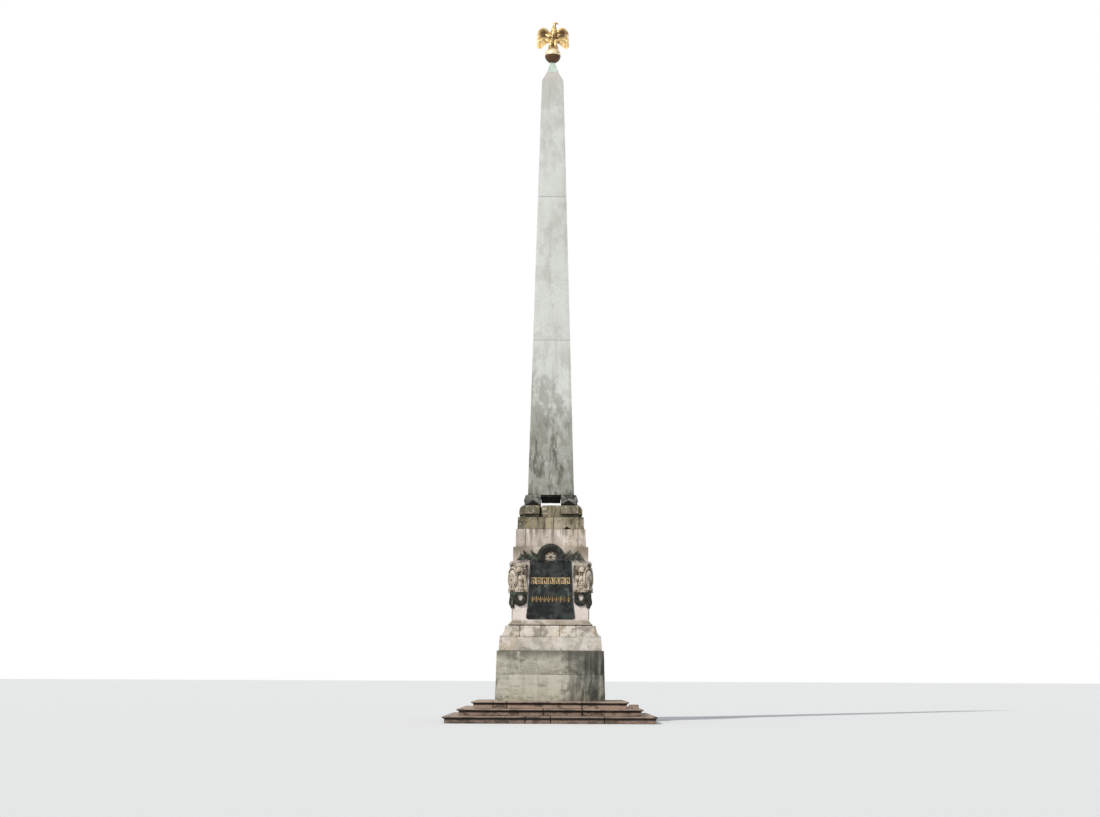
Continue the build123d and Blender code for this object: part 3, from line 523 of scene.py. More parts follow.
def mortar():
    look = Look("mortar", (50, 44, 38), roughness=0.95)
    look.blot((84, 77, 66), 14, 0.4, 0.7)
    return look.done((60, 4, 0.003, 0.6))


PLAIN_LOOKS = (
    red_granite,
    grey_granite,
    veined_marble,
    weathered_sandstone,
    dark_support_stone,
    shaft_granite,
    pale_cap_stone,
    dark_green_stone,
    carved_marble,
    mortar,
    dark_bronze,
)

# Gilding: bright, dull and brown tints, the brown for tarnish and painted shade, how metallic it is, and
# between which slopes an underside is painted brown as tarnish and shade
GILDINGS = {
    "gilding": ((250, 224, 168), (218, 172, 104), (80, 48, 22), 0.7, (-0.6, -0.1)),
    "ball_gilding": ((248, 232, 194), (228, 202, 148), (78, 44, 16), 0.6, (-0.16, -0.03)),
    "worn_gilding": ((226, 196, 146), (178, 148, 104), (62, 48, 32), 0.4, (-0.6, -0.1)),
}

materials = {look.__name__: look() for look in PLAIN_LOOKS}
materials |= {name: gilding(name, *tints) for name, tints in GILDINGS.items()}


# Shapes made one by one

def fan(count, start, step, across=RIGHT, up=UP):
    """Directions from across round toward up; start and step are shares of a half turn."""
    turns = [math.pi * (start + step * index) for index in range(count)]
    return [across * math.cos(turn) + up * math.sin(turn) for turn in turns]


def ring(centre, across, up, sides):
    """Points round an ellipse with the two half axes given."""
    return [centre + way for way in fan(sides, 0, 2 / sides, across, up)]


def along_path(path, share):
    """The point at a share of a path of points, evenly by point."""
    place = min(max(share, 0), 1) * (len(path) - 1)
    index = min(int(place), len(path) - 2)
    return path[index].lerp(path[index + 1], place - index)


class Shape:
    """Points and faces of a piece while it is being made, all closed skins, and how much painted shade, with
    soot in carved hollows, each point has.
    """

    def __init__(self):
        self.points = []
        self.faces = []
        self.shades = []
        self.shade = 0.0
        self.root_shade = 0.0

    def add(self, points, faces, shades=None):
        start = len(self.points)
        self.points += points
        self.shades += shades or [self.shade] * len(points)
        self.faces += [[start + index for index in face] for face in faces]

    def shade_and_soot(self, amount_at):
        """Darkens each point with painted shade and soot as far as its place says, and never makes one
        lighter.
        """
        for index, point in enumerate(self.points):
            self.shades[index] = max(self.shades[index], amount_at(point))

    def loft(self, rings, shades=None):
        """A skin over rings of the same number of points, closed at both ends."""
        count = len(rings[0])
        last = (len(rings) - 1) * count
        faces = [list(range(count))]
        for low in range(0, last, count):
            for index in range(count):
                after = (index + 1) % count
                faces.append([low + index, low + after, low + count + after, low + count + index])
        faces.append(list(range(last, last + count)))
        by_point = shades and [shade for shade in shades for index in range(count)]
        self.add([point for points in rings for point in points], faces, by_point)

    def tube(self, path, radii, sides=8):
        """A round bar along a path."""
        rings = []
        side = None
        for index, (point, reach) in enumerate(zip(path, radii)):
            along = (path[min(index + 1, len(path) - 1)] - path[max(index - 1, 0)]).normalized()
            side = along.orthogonal() if side is None else side
            side = (side - along * side.dot(along)).normalized()
            rings.append(ring(point, side * reach, along.cross(side) * reach, sides))
        self.loft(rings)

    def lathe(self, centre, axis, profile, sides=24, across=None, squash=1.0):
        """A turned form: reach from the axis and height along it, from foot to top."""
        side = across or axis.orthogonal().normalized()
        other = axis.cross(side) * squash
        rings = []
        for reach, height in profile:
            rings.append(ring(centre + axis * height, side * reach, other * reach, sides))
        self.loft(rings)

    def ball(self, centre, radii, axis=UP, across=RIGHT, sides=12):
        """An egg: radii across, the other way across, and along the axis."""
        rows = max(sides // 2, 4)
        profile = []
        for row in range(rows + 1):
            turn = math.pi * (row / rows - 0.5)
            profile.append((radii[0] * max(math.cos(turn), 0.02), radii[2] * math.sin(turn)))
        self.lathe(centre, axis, profile, sides, across, radii[1] / radii[0])

    def blade(self, root, reach, bend, face, width, thick, rows=6, kind="leaf"):
        """A leaf or a feather that reaches from its root, with a raised rib and its middle bent aside."""
        middle = reach / 2 + bend
        rings = []
        for row in range(rows + 1):
            share = row / rows
            point = root + 2 * share * (1 - share) * middle + share ** 2 * reach
            along = ((1 - share) * middle + share * (reach - middle)).normalized()
            side = along.cross(face).normalized()
            out = side.cross(along).normalized()
            if kind == "leaf":
                spread = math.sin(math.pi * (0.06 + 0.9 * share) ** 0.85)
            else:
                blunt = math.sqrt(max(1 - (max(share - 0.7, 0) / 0.31) ** 2, 0.002))
                spread = (0.5 + 0.5 * share ** 0.5) * blunt
            half = side * max(0.5 * width * spread, 0.02 * width)
            rise = out * thick * (0.35 + 0.65 * spread)
            rings.append([point - half, point + rise, point + half, point - 0.45 * rise])
        # Painted shade at the root, where it lies under its neighbours, fading toward the tip
        dark = max(self.root_shade - self.shade, 0)
        self.loft(rings, [self.shade + dark * max(1 - 2.2 * row / rows, 0) for row in range(rows + 1)])

    def bar(self, start, end, face, width, thick):
        """A flat bar between two points that stands out toward face."""
        side = (end - start).normalized().cross(face).normalized() * width / 2
        out = face * thick
        rings = []
        for point in (start, end):
            rings.append([point - side, point - side + out, point + side + out, point + side])
        self.loft(rings)


def onto_faces(*parts):
    """One shape of shapes made for the front, each turned onto the face that it comes with."""
    whole = Shape()
    for shape, index in parts:
        turn = Matrix.Rotation(math.pi / 2 * index, 4, "Z")
        whole.add([turn @ point for point in shape.points], shape.faces, shape.shades)
    return whole


def finish_mesh(bm, name, look_name, nodes=(), slot_name=None):
    """Makes a scene object of a mesh, with its sharp edges marked, and hides the CAD nodes that it takes the
    place of.
    """
    bm.normal_update()
    for face in bm.faces:
        face.smooth = True
    for edge in bm.edges:
        edge.smooth = edge.is_manifold and edge.calc_face_angle(0) < SHARP_TURN
    mesh = bpy.data.meshes.new(name)
    bm.to_mesh(mesh)
    bm.free()
    mesh.materials.append(materials[look_name])
    piece = bpy.data.objects.new(name, mesh)
    bpy.context.scene.collection.objects.link(piece)
    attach(piece, "root")
    slot_name or look_name
    if nodes:
        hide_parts(*nodes)


def finish_shape(shape, name, look_name, nodes=(), slot_name=None, floor_z=None):
    """The same for a shape, which may stand on a level that cuts it off."""
    bm = bmesh.new()
    layer = bm.verts.layers.float.new("shade")
    points = [bm.verts.new(point) for point in shape.points]
    for vertex, shade in zip(points, shape.shades):
        vertex[layer] = shade
    for face in shape.faces:
        bm.faces.new([points[index] for index in face])
    bmesh.ops.recalc_face_normals(bm, faces=bm.faces)
    if floor_z is not None:
        cut_away(bm, UP * floor_z, -UP)
    finish_mesh(bm, name, look_name, nodes, slot_name)


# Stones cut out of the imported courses, each with its plan: left, right, near and far

BEYOND = 9
EVERYWHERE = [(-BEYOND, BEYOND, -BEYOND, BEYOND)]


def split(bm, point, normal, **settings):
    """Divides a mesh along a plane."""
    everything = bm.verts[:] + bm.edges[:] + bm.faces[:]
    return bmesh.ops.bisect_plane(bm, geom=everything, plane_co=point, plane_no=normal, **settings)


def cut_away(bm, point, normal):
    """Removes what lies beyond a plane and closes the cut."""
    cut = split(bm, point, normal, clear_outer=True, dist=1e-6)
    edges = [part for part in cut["geom_cut"] if isinstance(part, bmesh.types.BMEdge)]
    if edges:
        bmesh.ops.holes_fill(bm, edges=edges, sides=0)


def course_mesh(node):
    """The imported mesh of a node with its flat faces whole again."""
    bm = bmesh.new()
    bm.from_mesh(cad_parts[node].data)
    bmesh.ops.remove_doubles(bm, verts=bm.verts, dist=1e-5)
    bmesh.ops.dissolve_limit(bm, angle_limit=math.radians(1), verts=bm.verts, edges=bm.edges)
    return bm


def face_outward(bm):
    """Turns the faces of one closed stone outward."""
    bmesh.ops.recalc_face_normals(bm, faces=bm.faces)
    if bm.calc_volume(signed=True) < 0:
        bmesh.ops.reverse_faces(bm, faces=bm.faces)
    bm.normal_update()


def rub_edges(bm, width):
    """Rounds the sharp outer edges."""
    face_outward(bm)
    outer = [edge for edge in bm.edges if edge.is_manifold and edge.is_convex]
    sharp = [edge for edge in outer if edge.calc_face_angle(0) > RUBBED_TURN]
    bmesh.ops.bevel(bm, geom=sharp, offset=width, segments=2, profile=0.6, affect="EDGES", clamp_overlap=True)


def weather(bm, cell, depth, seed):
    """Divides the faces by planes a cell apart and wears the surface unevenly, most at the edges."""
    low = Vector([min(vertex.co[axis] for vertex in bm.verts) for axis in range(3)])
    high = Vector([max(vertex.co[axis] for vertex in bm.verts) for axis in range(3)])
    for axis in range(3):
        count = int((high[axis] - low[axis]) / cell)
        normal = Vector([float(index == axis) for index in range(3)])
        for step in range(1, count + 1):
            split(bm, low + normal * (high[axis] - low[axis]) * step / (count + 1), normal, dist=1e-5)
    bm.normal_update()
    shift = Vector((seed * 7.1, seed * 3.7, seed * 1.9))
    for vertex in bm.verts:
        edge = max((other.calc_face_angle(0) for other in vertex.link_edges if other.is_manifold), default=0)
        broad = noise.noise(vertex.co * BROAD_WEAR + shift)
        fine = noise.noise(vertex.co * FINE_WEAR + shift)
        wear = broad * 0.5 + fine * 0.5
        bite = max(noise.noise(vertex.co * EDGE_BITES + shift * 2) - BITE_FLOOR, 0) * 5 * min(edge / 0.5, 1)
        vertex.co -= vertex.normal * depth * max(0.5 + wear + bite, 0)
    face_outward(bm)


def plan_boxes(half, depth, front, side):
    """Plans of the stones of a square ring: whole rows at front and back, shorter ones between."""
    inner = half - depth
    back = [-place for place in reversed(front)]
    boxes = []
    for sign, joints in ((-1, front), (1, back)):
        edges = [-2 * half, *joints, 2 * half]
        row = sorted((sign * inner, sign * 2 * half))
        boxes += [(start, end, *row) for start, end in zip(edges, edges[1:])]
    edges = [-inner, *side, inner]
    for sign in (-1, 1):
        row = sorted((sign * inner, sign * 2 * half))
        boxes += [(*row, start, end) for start, end in zip(edges, edges[1:])]
    return boxes


def mortar_bed(whole, nosing):
    """The mortar behind open joints: the course's own form set back, or a plain slab below a nosing."""
    if not nosing:
        whole.normal_update()
        bed = whole.copy()
        for vertex, old in zip(bed.verts, whole.verts):
            vertex.co -= old.normal * MORTAR_BACK
        return bed
    low = min(vertex.co.z for vertex in whole.verts)
    high = max(vertex.co.z for vertex in whole.verts) - MORTAR_BACK
    half = max(vertex.co.x for vertex in whole.verts) - nosing - MORTAR_BACK
    bed = bmesh.new()
    slab = Matrix.Translation((0, 0, (low + high) / 2)) @ Matrix.Diagonal((2 * half, 2 * half, high - low, 1))
    bmesh.ops.create_cube(bed, size=1, matrix=slab)
    return bed


def lay_course(node, look_name, seed, cell, wear, arris=ARRIS, boxes=EVERYWHERE, joint=JOINT, nosing=0):
    """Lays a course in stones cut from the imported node, before a recessed bed of mortar."""
    whole = course_mesh(node)
    joined = bmesh.new()
    tone = joined.verts.layers.float.new("tone")
    shades = random.Random(seed)
    gap = joint / 2
    for number, (left, right, near, far) in enumerate(boxes):
        stone = whole.copy()
        cut_away(stone, RIGHT * (left + gap), -RIGHT)
        cut_away(stone, RIGHT * (right - gap), RIGHT)
        cut_away(stone, BACK * (near + gap), -BACK)
        cut_away(stone, BACK * (far - gap), BACK)
        if stone.faces:
            rub_edges(stone, arris)
            weather(stone, cell, wear, seed * 31 + number)
            shade = shades.random()
            points = {}
            for vertex in stone.verts:
                points[vertex] = joined.verts.new(vertex.co)
                points[vertex][tone] = shade
            for face in stone.faces:
                joined.faces.new([points[vertex] for vertex in face.verts])
        stone.free()
    if len(boxes) > 1:
        bed = mortar_bed(whole, nosing)
        face_outward(bed)
        finish_mesh(bed, f"{node}_mortar", "mortar", slot_name=look_name)
    whole.free()
    finish_mesh(joined, f"{node}_stones", look_name, [node])


# Steps and the stone that slid off them
for number, (node, joints) in enumerate(STEP_JOINTS.items()):
    boxes = plan_boxes(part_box(node)[1].y, STEP_DEPTH, joints, STEP_SIDE_JOINTS)
    lay_course(
        node,
        "red_granite",
        seed=3 + number,
        cell=0.14,
        wear=0.006,
        arris=0.012,
        boxes=boxes,
        joint=STEP_JOINT,
        nosing=STEP_NOSING,
    )
lay_course("loose_end_stone", "red_granite", seed=7, cell=0.05, wear=0.008, arris=0.012)

# Base, batter, hollow course, die and shoulders
for node, (look_name, depth, joints, side) in COURSES.items():
    boxes = plan_boxes(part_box(node)[1].y, depth, joints, side)
    lay_course(node, look_name, seed=len(node), cell=0.14, wear=0.004, boxes=boxes)
lay_course("die", "veined_marble", seed=5, cell=0.14, wear=0.003)

# Cap, shaft supports and shaft; the cap's left corner stone stops short of an open joint
short_of_joint = [(-BEYOND, CAP_JOINT_X - CAP_GAP, -BEYOND, BEYOND)]
for number, corner_name in enumerate(CORNER_NAMES):
    stone = f"cap_corner_{corner_name}"
    boxes = short_of_joint if corner_name == "front_left" else EVERYWHERE
    lay_course(
        stone,
        "weathered_sandstone",
        seed=11 + number,
        cell=0.07,
        wear=0.007,
        arris=0.014,
        boxes=boxes,
    )
    stone = f"shaft_support_{corner_name}"
    lay_course(stone, "dark_support_stone", seed=21 + number, cell=0.07, wear=0.005, arris=0.016)
lay_course("cap_core", "weathered_sandstone", seed=15, cell=0.09, wear=0.006, arris=0.012)
for number, node in enumerate(("shaft_lower", "shaft_middle", "shaft_upper")):
    lay_course(node, "shaft_granite", seed=31 + number, cell=0.2, wear=0.003, arris=0.010)

# Packing round the shaft's tenon, drawn down to where the sky shows under it, and painted black as the shade
# under the shaft by the shaft granite
tenon = course_mesh("shaft_lower")
cut_away(tenon, UP * (SHAFT_FOOT_Z - 0.004), UP)
for vertex in tenon.verts:
    vertex.co.z = SHAFT_FOOT_Z - TENON_DRAWN * (SHAFT_FOOT_Z - vertex.co.z)
rub_edges(tenon, 0.012)
weather(tenon, cell=0.07, depth=0.004, seed=37)
finish_mesh(tenon, "shaft_tenon_packing", "shaft_granite")

# Pale tip of the point, and the plaques, which are undivided and even
lay_course("apex_cap", "pale_cap_stone", seed=41, cell=0.08, wear=0.002, arris=0.006)
for face_name in FACE_NAMES:
    lay_course(f"plaque_{face_name}", "dark_green_stone", seed=51, cell=BEYOND, wear=0.0, arris=0.005)


def key_band(middle_z):
    """A gilt row of keys with gaps between them, made for the front."""
    shape = Shape()
    stroke = 0.13 * BAND_HEIGHT
    pitch = 2 * BAND_HALF / KEY_COUNT
    foot_z = middle_z - BAND_HEIGHT / 2 + stroke / 2
    turns = ((0.1, 0.0), (0.1, 1.0), (0.84, 1.0), (0.84, 0.12), (0.47, 0.12), (0.47, 0.62))
    for index in range(KEY_COUNT):
        points = []
        for across, level in turns:
            x = (index + across) * pitch - BAND_HALF
            points.append(Vector((x, -PLAQUE_FIELD, foot_z + level * (BAND_HEIGHT - stroke))))
        for start, end in zip(points, points[1:]):
            reach = (end - start).normalized() * stroke / 2
            width, thick = (stroke, 0.011) if start.x == end.x else (0.8 * stroke, 0.008)
            shape.bar(start - reach, end + reach, FRONT, width, thick)
        foot = RIGHT * stroke
        shape.bar(points[0] - foot, points[0] + foot, FRONT, 0.6 * stroke, 0.007)
    return shape


def leaf_band(middle_z):
    """A gilt row of narrow upright leaves in threes, made for the front."""
    shape = Shape()
    # The roots of the leaves are painted in shade
    shape.root_shade = 0.6
    pitch = 2 * BAND_HALF / LEAF_COUNT
    for index in range(LEAF_COUNT):
        x = (index + 0.5) * pitch - BAND_HALF
        root = Vector((x, -PLAQUE_FIELD - 0.004, middle_z - BAND_HEIGHT / 2))
        for lean, share, wide in ((-0.34, 0.84, 0.17), (0.34, 0.84, 0.17), (0.0, 1.0, 0.22)):
            tall = share * BAND_HEIGHT
            bend = Vector((lean * pitch, 0, -0.05 * tall))
            shape.blade(root, Vector((lean * pitch, 0, tall)), bend, FRONT, pitch * wide, 0.013)
        shape.ball(root + UP * 0.012, (0.02, 0.012, 0.012), sides=8)
    return shape


for index, face_name in RICH_FACES:
    for band_name, band in (("key", key_band(UPPER_BAND_Z)), ("leaf", leaf_band(LOWER_BAND_Z))):
        name = f"gilt_{band_name}_band_{face_name}"
        finish_shape(onto_faces((band, index)), name, "worn_gilding", slot_name="gilding")


def wreath_frame(shape, centre, ring_r):
    """Frame that slopes in toward the medallion, painted nearly black as in shade."""
    shape.shade = 0.9
    section = (
        (MEDALLION_R + 0.002, -0.01),
        (MEDALLION_R + 0.002, 0.045),
        (MEDALLION_R + 0.02, 0.058),
        (MEDALLION_R + 0.05, 0.062),
        (ring_r - 0.052, 0.088),
        (ring_r - 0.03, 0.096),
        (ring_r + 0.03, 0.09),
        (ring_r + 0.045, 0.05),
        (ring_r + 0.045, -0.01),
    )
    sides = 96
    ways = fan(sides + 1, 0, 2 / sides)
    shape.loft([[centre + way * reach + FRONT * out for reach, out in section] for way in ways])


def laurel(shape, centre, ring_r, side):
    """Three rows of leaves up one side of the ring, with berries on them."""
    rows = ((-0.5, 0, 0.07, 0.014), (0, 3.4, 0.086, 0.026), (0.5, 0, 0.07, 0.014))
    count = 17
    first_turn = -32
    whole_turn = 118
    for index in range(count):
        turn = first_turn + whole_turn * index / (count - 1)
        for lean, forward, height, rise in rows:
            spoke, along = fan(2, (turn + forward) / 180, 0.5, RIGHT * side)
            root = centre + spoke * (ring_r + 0.0408 * lean) + FRONT * height
            reach = (along + spoke * lean).normalized() * 0.098 + FRONT * rise
            face = (FRONT + spoke * lean * 0.9).normalized()
            shape.blade(root, reach, FRONT * 0.014, face, 0.042, 0.009)
    for index, spoke in enumerate(fan(8, -20 / 180, 15 / 180, RIGHT * side)):
        shape.ball(centre + spoke * (ring_r + 0.02 * (-1) ** index) + FRONT * 0.108, (0.012,) * 3, sides=8)


def spray(shape, ring_r, side):
    """A bent stem with leaves above and below it."""
    start = Vector((side * ring_r, -DIE_FACE - 0.03, SPRAY_Z))
    end = start + Vector((side * SPRAY_LENGTH, 0, -0.02))
    stem = [start.lerp(end, share) + UP * 0.03 * math.sin(math.pi * share) for share in (0, 0.25, 0.5, 0.7)]
    shape.tube(stem, (0.016, 0.014, 0.012, 0.008))
    for place, length, lean in SPRAY_LEAVES:
        root = start + RIGHT * side * place * SPRAY_LENGTH
        along, aside = fan(2, lean / 180, 0.5, RIGHT * side)
        reach = along * length * LEAF_LENGTH + FRONT * 0.02
        bend = FRONT * 0.045 + aside * (-0.03 if lean > 0 else 0.03)
        shape.blade(root, reach, bend, FRONT, LEAF_WIDTH, 0.014, 7)


def wreath_shape():
    """Laurel wreath with its inner frame and the sprays to both sides, made for the front."""
    shape = Shape()
    centre = Vector((0, -DIE_FACE, WREATH_Z))
    ring_r = WREATH_R - WREATH_BAND / 2
    wreath_frame(shape, centre, ring_r)
    # Leaves painted in shade at their roots
    shape.shade = 0.0
    shape.root_shade = 0.95
    for side in (-1, 1):
        laurel(shape, centre, ring_r, side)
    for side in (-1, 1):
        spray(shape, ring_r, side)
    return shape


def medallion_shape():
    """A round stone with a rosette of two rings of petals, made for the front; its ground, the roots of its
    petals and its boss are painted in shade.
    """
    shape = Shape()
    centre = Vector((0, -DIE_FACE, WREATH_Z))
    shape.shade = 0.8
    profile = ((1, -0.008), (1, 0.02), (0.94, 0.028), (0.88, 0.014), (0.1, 0.012))
    shape.lathe(centre, FRONT, [(share * MEDALLION_R, out) for share, out in profile], 48)
    shape.shade = 0.1
    shape.root_shade = 1.0
    for reach, width, out, start in ((0.84, 0.32, 0.02, 0.125), (0.5, 0.24, 0.036, 0.0)):
        for along in fan(8, start, 0.25):
            root = centre + along * 0.03 + FRONT * out
            petal = along * (reach * MEDALLION_R - 0.03) - FRONT * 0.004
            shape.blade(root, petal, petal * 0.05 + FRONT * 0.016, FRONT, width * MEDALLION_R, 0.009)
    shape.shade = 0.8
    shape.ball(centre + FRONT * 0.036, (0.03, 0.03, 0.02), FRONT, RIGHT, 16)
    return shape


wreath = wreath_shape()
medallion = medallion_shape()
for index, face_name in RICH_FACES:
    for piece, node, ending, look_name in (
        (wreath, f"wreath_{face_name}", "leaves", "dark_bronze"),
        (medallion, f"medallion_{face_name}", "rosette", "carved_marble"),
    ):
        whole = onto_faces((piece, index))
        finish_shape(whole, f"{node}_{ending}", look_name, [node], floor_z=PLAQUE_TOP_Z)


def eagle_torso(shape):
    """Lofted body under rows of small feathers, each over the one below."""
    # The body between the feathers is painted in shade, and so is the root of each feather
    shape.shade = 0.6
    rings = []
    for height, x, y, wide, deep in EAGLE_SECTIONS:
        rings.append(ring(PERCH + Vector((x, y, height)), RIGHT * wide, BACK * deep, 24))
    shape.loft(rings)
    shape.shade = 0.0
    shape.root_shade = 0.9
    for row in range(13):
        height = 0.10 + row * 0.047
        low, high = [pair for pair in zip(EAGLE_SECTIONS, EAGLE_SECTIONS[1:]) if pair[0][0] <= height][-1]
        share = (height - low[0]) / (high[0] - low[0])
        x, y, wide, deep = (start + (end - start) * share for start, end in zip(low[1:], high[1:]))
        count = 12 if wide > 0.06 else 9
        for out in fan(count, (row % 2) / count, 2 / count, RIGHT, BACK):
            root = PERCH + Vector((x + out.x * wide * 0.98, y + out.y * deep * 0.98, height + 0.02))
            width = 1.8 * math.pi * wide / count
            shape.blade(root, out * 0.008 - UP * 0.068, out * 0.014, out, width, 0.006, 4)


def eagle_head(shape):
    """Head turned to the viewer's right, with brow, hooked beak and a ruff of small feathers."""
    # The roots of the ruff are painted in shade
    shape.root_shade = 0.5
    head = PERCH + Vector((0.062, -0.03, 0.772))
    shape.ball(head, (0.058, 0.044, 0.048), sides=20)
    hook = ((0.035, -0.004, 0.0), (0.07, -0.006, 0.002), (0.1, -0.008, -0.016), (0.108, -0.008, -0.045))
    shape.tube([head + Vector(place) for place in hook], (0.03, 0.022, 0.013, 0.003), 10)
    for side in (-1, 1):
        brow = head + Vector((0.03, side * 0.034 - 0.004, 0.014))
        shape.ball(brow, (0.026, 0.01, 0.008), sides=10)
        shape.ball(brow + Vector((0.002, side * 0.004, -0.012)), (0.008,) * 3, sides=8)
    for row, length in enumerate((0.06, 0.055, 0.05)):
        for way in fan(8, 0.55, 0.9 / 7, RIGHT, BACK * 0.8):
            out = (way + UP * 0.1).normalized()
            root = head + out * 0.04 - UP * (0.006 + 0.018 * row)
            shape.blade(root, out * 0.016 - UP * length, out * 0.01, out, 0.032, 0.006, 4)


def eagle_leg(shape, side):
    """A feathered thigh, and a foot with four toes that grip the ball."""
    hip = PERCH + Vector((0.028 + side * 0.058, -0.03, 0.22))
    ankle = PERCH + Vector((side * 0.082, -0.078, 0.028))
    down = (ankle - hip).normalized()
    shape.tube([hip, hip.lerp(ankle, 0.3), hip.lerp(ankle, 0.65), ankle], (0.06, 0.06, 0.043, 0.024), 14)
    for row, reach in enumerate((0.058, 0.058, 0.05, 0.04)):
        middle = hip.lerp(ankle, 0.1 + row * 0.2)
        for out in fan(9, (row % 2) / 9, 2 / 9, RIGHT, BACK):
            root = middle + out * reach * 0.9 + UP * 0.02
            shape.blade(root, down * 0.07 + out * 0.006, out * 0.012, out, 0.04, 0.005, 4)
    foot = (ankle - BALL).normalized()
    for spread in (-0.62, 0.0, 0.62, math.pi):
        way = Vector((math.sin(spread) + side * 0.25, -math.cos(spread), 0)).normalized()
        axis = foot.cross(way).normalized()
        toe = []
        for angle, lift in ((0, 0.013), (0.13, 0.013), (0.26, 0.013), (0.38, 0.013), (0.47, 0.004)):
            toe.append(BALL + (Matrix.Rotation(angle, 3, axis) @ foot) * (BALL_R + lift))
        shape.tube(toe, (0.017, 0.016, 0.015, 0.011, 0.003))
    shape.tube([ankle + UP * 0.02, BALL + foot * (BALL_R + 0.006)], (0.022, 0.024), 10)


def eagle_body_shape():
    """Body, head, legs and tail of the eagle, from its perch up."""
    shape = Shape()
    eagle_torso(shape)
    eagle_head(shape)
    # Legs and tail have the roots of their feathers painted in shade
    shape.root_shade = 0.9
    for side in (-1, 1):
        eagle_leg(shape, side)
    # Tail, spread down behind the ball
    for index in range(9):
        share = index / 4 - 1
        root = PERCH + Vector((0.015 + 0.05 * share, 0.075, 0.2))
        tip = PERCH + Vector((0.012 + 0.15 * share, 0.16 + 0.01 * (index % 2), 0.03 * share * share))
        shape.blade(root, tip - root, BACK * 0.02, BACK, 0.062, 0.007, 7, "feather")
    # Painted shade in the lap and under the wing on the viewer's right
    spots = ((0.02, 0.30, 0.045, 0.10), (0.11, 0.36, 0.05, 0.13), (-0.08, 0.31, 0.03, 0.04))
    for x, z, wide, tall in spots:
        spot = PERCH + Vector((x, 0, z))
        shape.shade_and_soot(lambda point: 0.85 * min(max(1.5 - apart(point, spot, wide, tall), 0), 1))
    return shape


def apart(point, spot, wide, tall):
    """How far a point lies from a spot, as seen from the front, in half axes of an ellipse."""
    return math.hypot((point.x - spot.x) / wide, (point.z - spot.z) / tall)


def wing_shape(side):
    """One broad wing, dropped at the tip and cupped toward the front."""
    shape = Shape()

    def place(x, y, z):
        return PERCH + Vector((side * x, y, z))

    arm = [place(*spot) for spot in WING_ARM]
    tips = [place(*spot) for spot in WING_TIPS]
    shares = [step / 24 for step in range(25)]
    radii = [0.042 - 0.022 * share for share in shares]
    shape.tube([along_path(arm, share) for share in shares], radii, 10)
    # Feather roots painted in shade
    shape.root_shade = 0.7
    for count, length, width, out, thick in WING_ROWS:
        for index in range(count):
            share = (index + 0.3) / count
            lift = 0.004 * (index % 2)
            root = along_path(arm, share) + BACK * out
            reach = (along_path(tips, share) + BACK * out / 2 - root) * length + BACK * lift
            bend = BACK * (0.05 * length - lift / 2)
            face = FRONT if out <= 0 else BACK
            shape.blade(root, reach, bend, face, width * (0.85 + 0.3 * length), thick, 8, "feather")
    # The cup of the wing is in its own shade
    hollow = place(0.285, 0, 0.45)
    shape.shade_and_soot(lambda point: 0.92 * min(max(1.6 - 1.2 * apart(point, hollow, 0.135, 0.15), 0), 1))
    # Small feathers along the arm, their roots in painted shade, and two bands of long ones from the breast
    shape.root_shade = 0.3
    face = Vector((0, -1, 0.6)).normalized()
    reach = Vector((side * 0.02, -0.004, -0.05))
    for index in range(22):
        root = along_path(arm, index / 22) + Vector((0, -0.03 + 0.01 * index / 22, 0.012))
        for lift in (0, 0.012):
            shape.blade(root + Vector((0, lift, lift)), reach, face * 0.01, face, 0.034, 0.006, 4)
    shape.root_shade = 0.0
    face = (FRONT + UP * 0.2).normalized()
    for level, count in ((0.40, 4), (0.235, 3)):
        for index in range(count):
            root = place(0.072, -0.045, level + 0.028 - 0.012 * index)
            tip = place(0.235 - 0.022 * index, -0.05, level + 0.008 - 0.024 * index)
            shape.blade(root, tip - root, Vector((0, -0.03, -0.014)), face, 0.034, 0.005, 7, "feather")
    return shape


finish_shape(eagle_body_shape(), "eagle_body_gilt", "gilding", ["eagle_body"])
for side, side_name in ((-1, "left"), (1, "right")):
    node = f"eagle_wing_{side_name}"
    finish_shape(wing_shape(side), f"{node}_gilt", "gilding", [node])
ball = Shape()
ball.ball(BALL, (BALL_R,) * 3, sides=72)
finish_shape(ball, "ball_gilt", "ball_gilding", ["ball"], "gilding")


def cuirass(shape, foot):
    """Cuirass with its belt, a skirt of two rows of tongues and a boss."""
    body = (
        (0.112, 0.13),
        (0.104, 0.20),
        (0.092, 0.25),
        (0.104, 0.34),
        (0.112, 0.41),
        (0.098, 0.47),
        (0.066, 0.52),
        (0.04, 0.56),
    )
    belt = ((0.1, 0.205), (0.112, 0.215), (0.112, 0.24), (0.1, 0.25))
    for profile, squash in ((body, 0.8), (belt, 0.82)):
        levels = [(reach, level * TROPHY_TALL) for reach, level in profile]
        shape.lathe(foot, UP, levels, 28, RIGHT, squash)
    for row, (level, length, count) in enumerate(((0.205, 0.1326, 9), (0.15, 0.1428, 10))):
        for out in fan(count, (0.5 + 0.5 * row) / count, 1 / count, RIGHT, FRONT * 0.8):
            root = foot + out * 0.104 + UP * level * TROPHY_TALL
            tip = root + out * 0.03 - UP * length
            shape.bar(root, tip, out.normalized(), 0.026, 0.012)
            shape.ball(tip, (0.012, 0.012, 0.008), out.normalized(), UP, 8)
    boss = ((0.026, 0), (0.03, 0.008), (0.012, 0.014), (0.006, 0.02))
    shape.lathe(foot + FRONT * 0.088 + UP * 0.38 * TROPHY_TALL, FRONT, boss, 14)


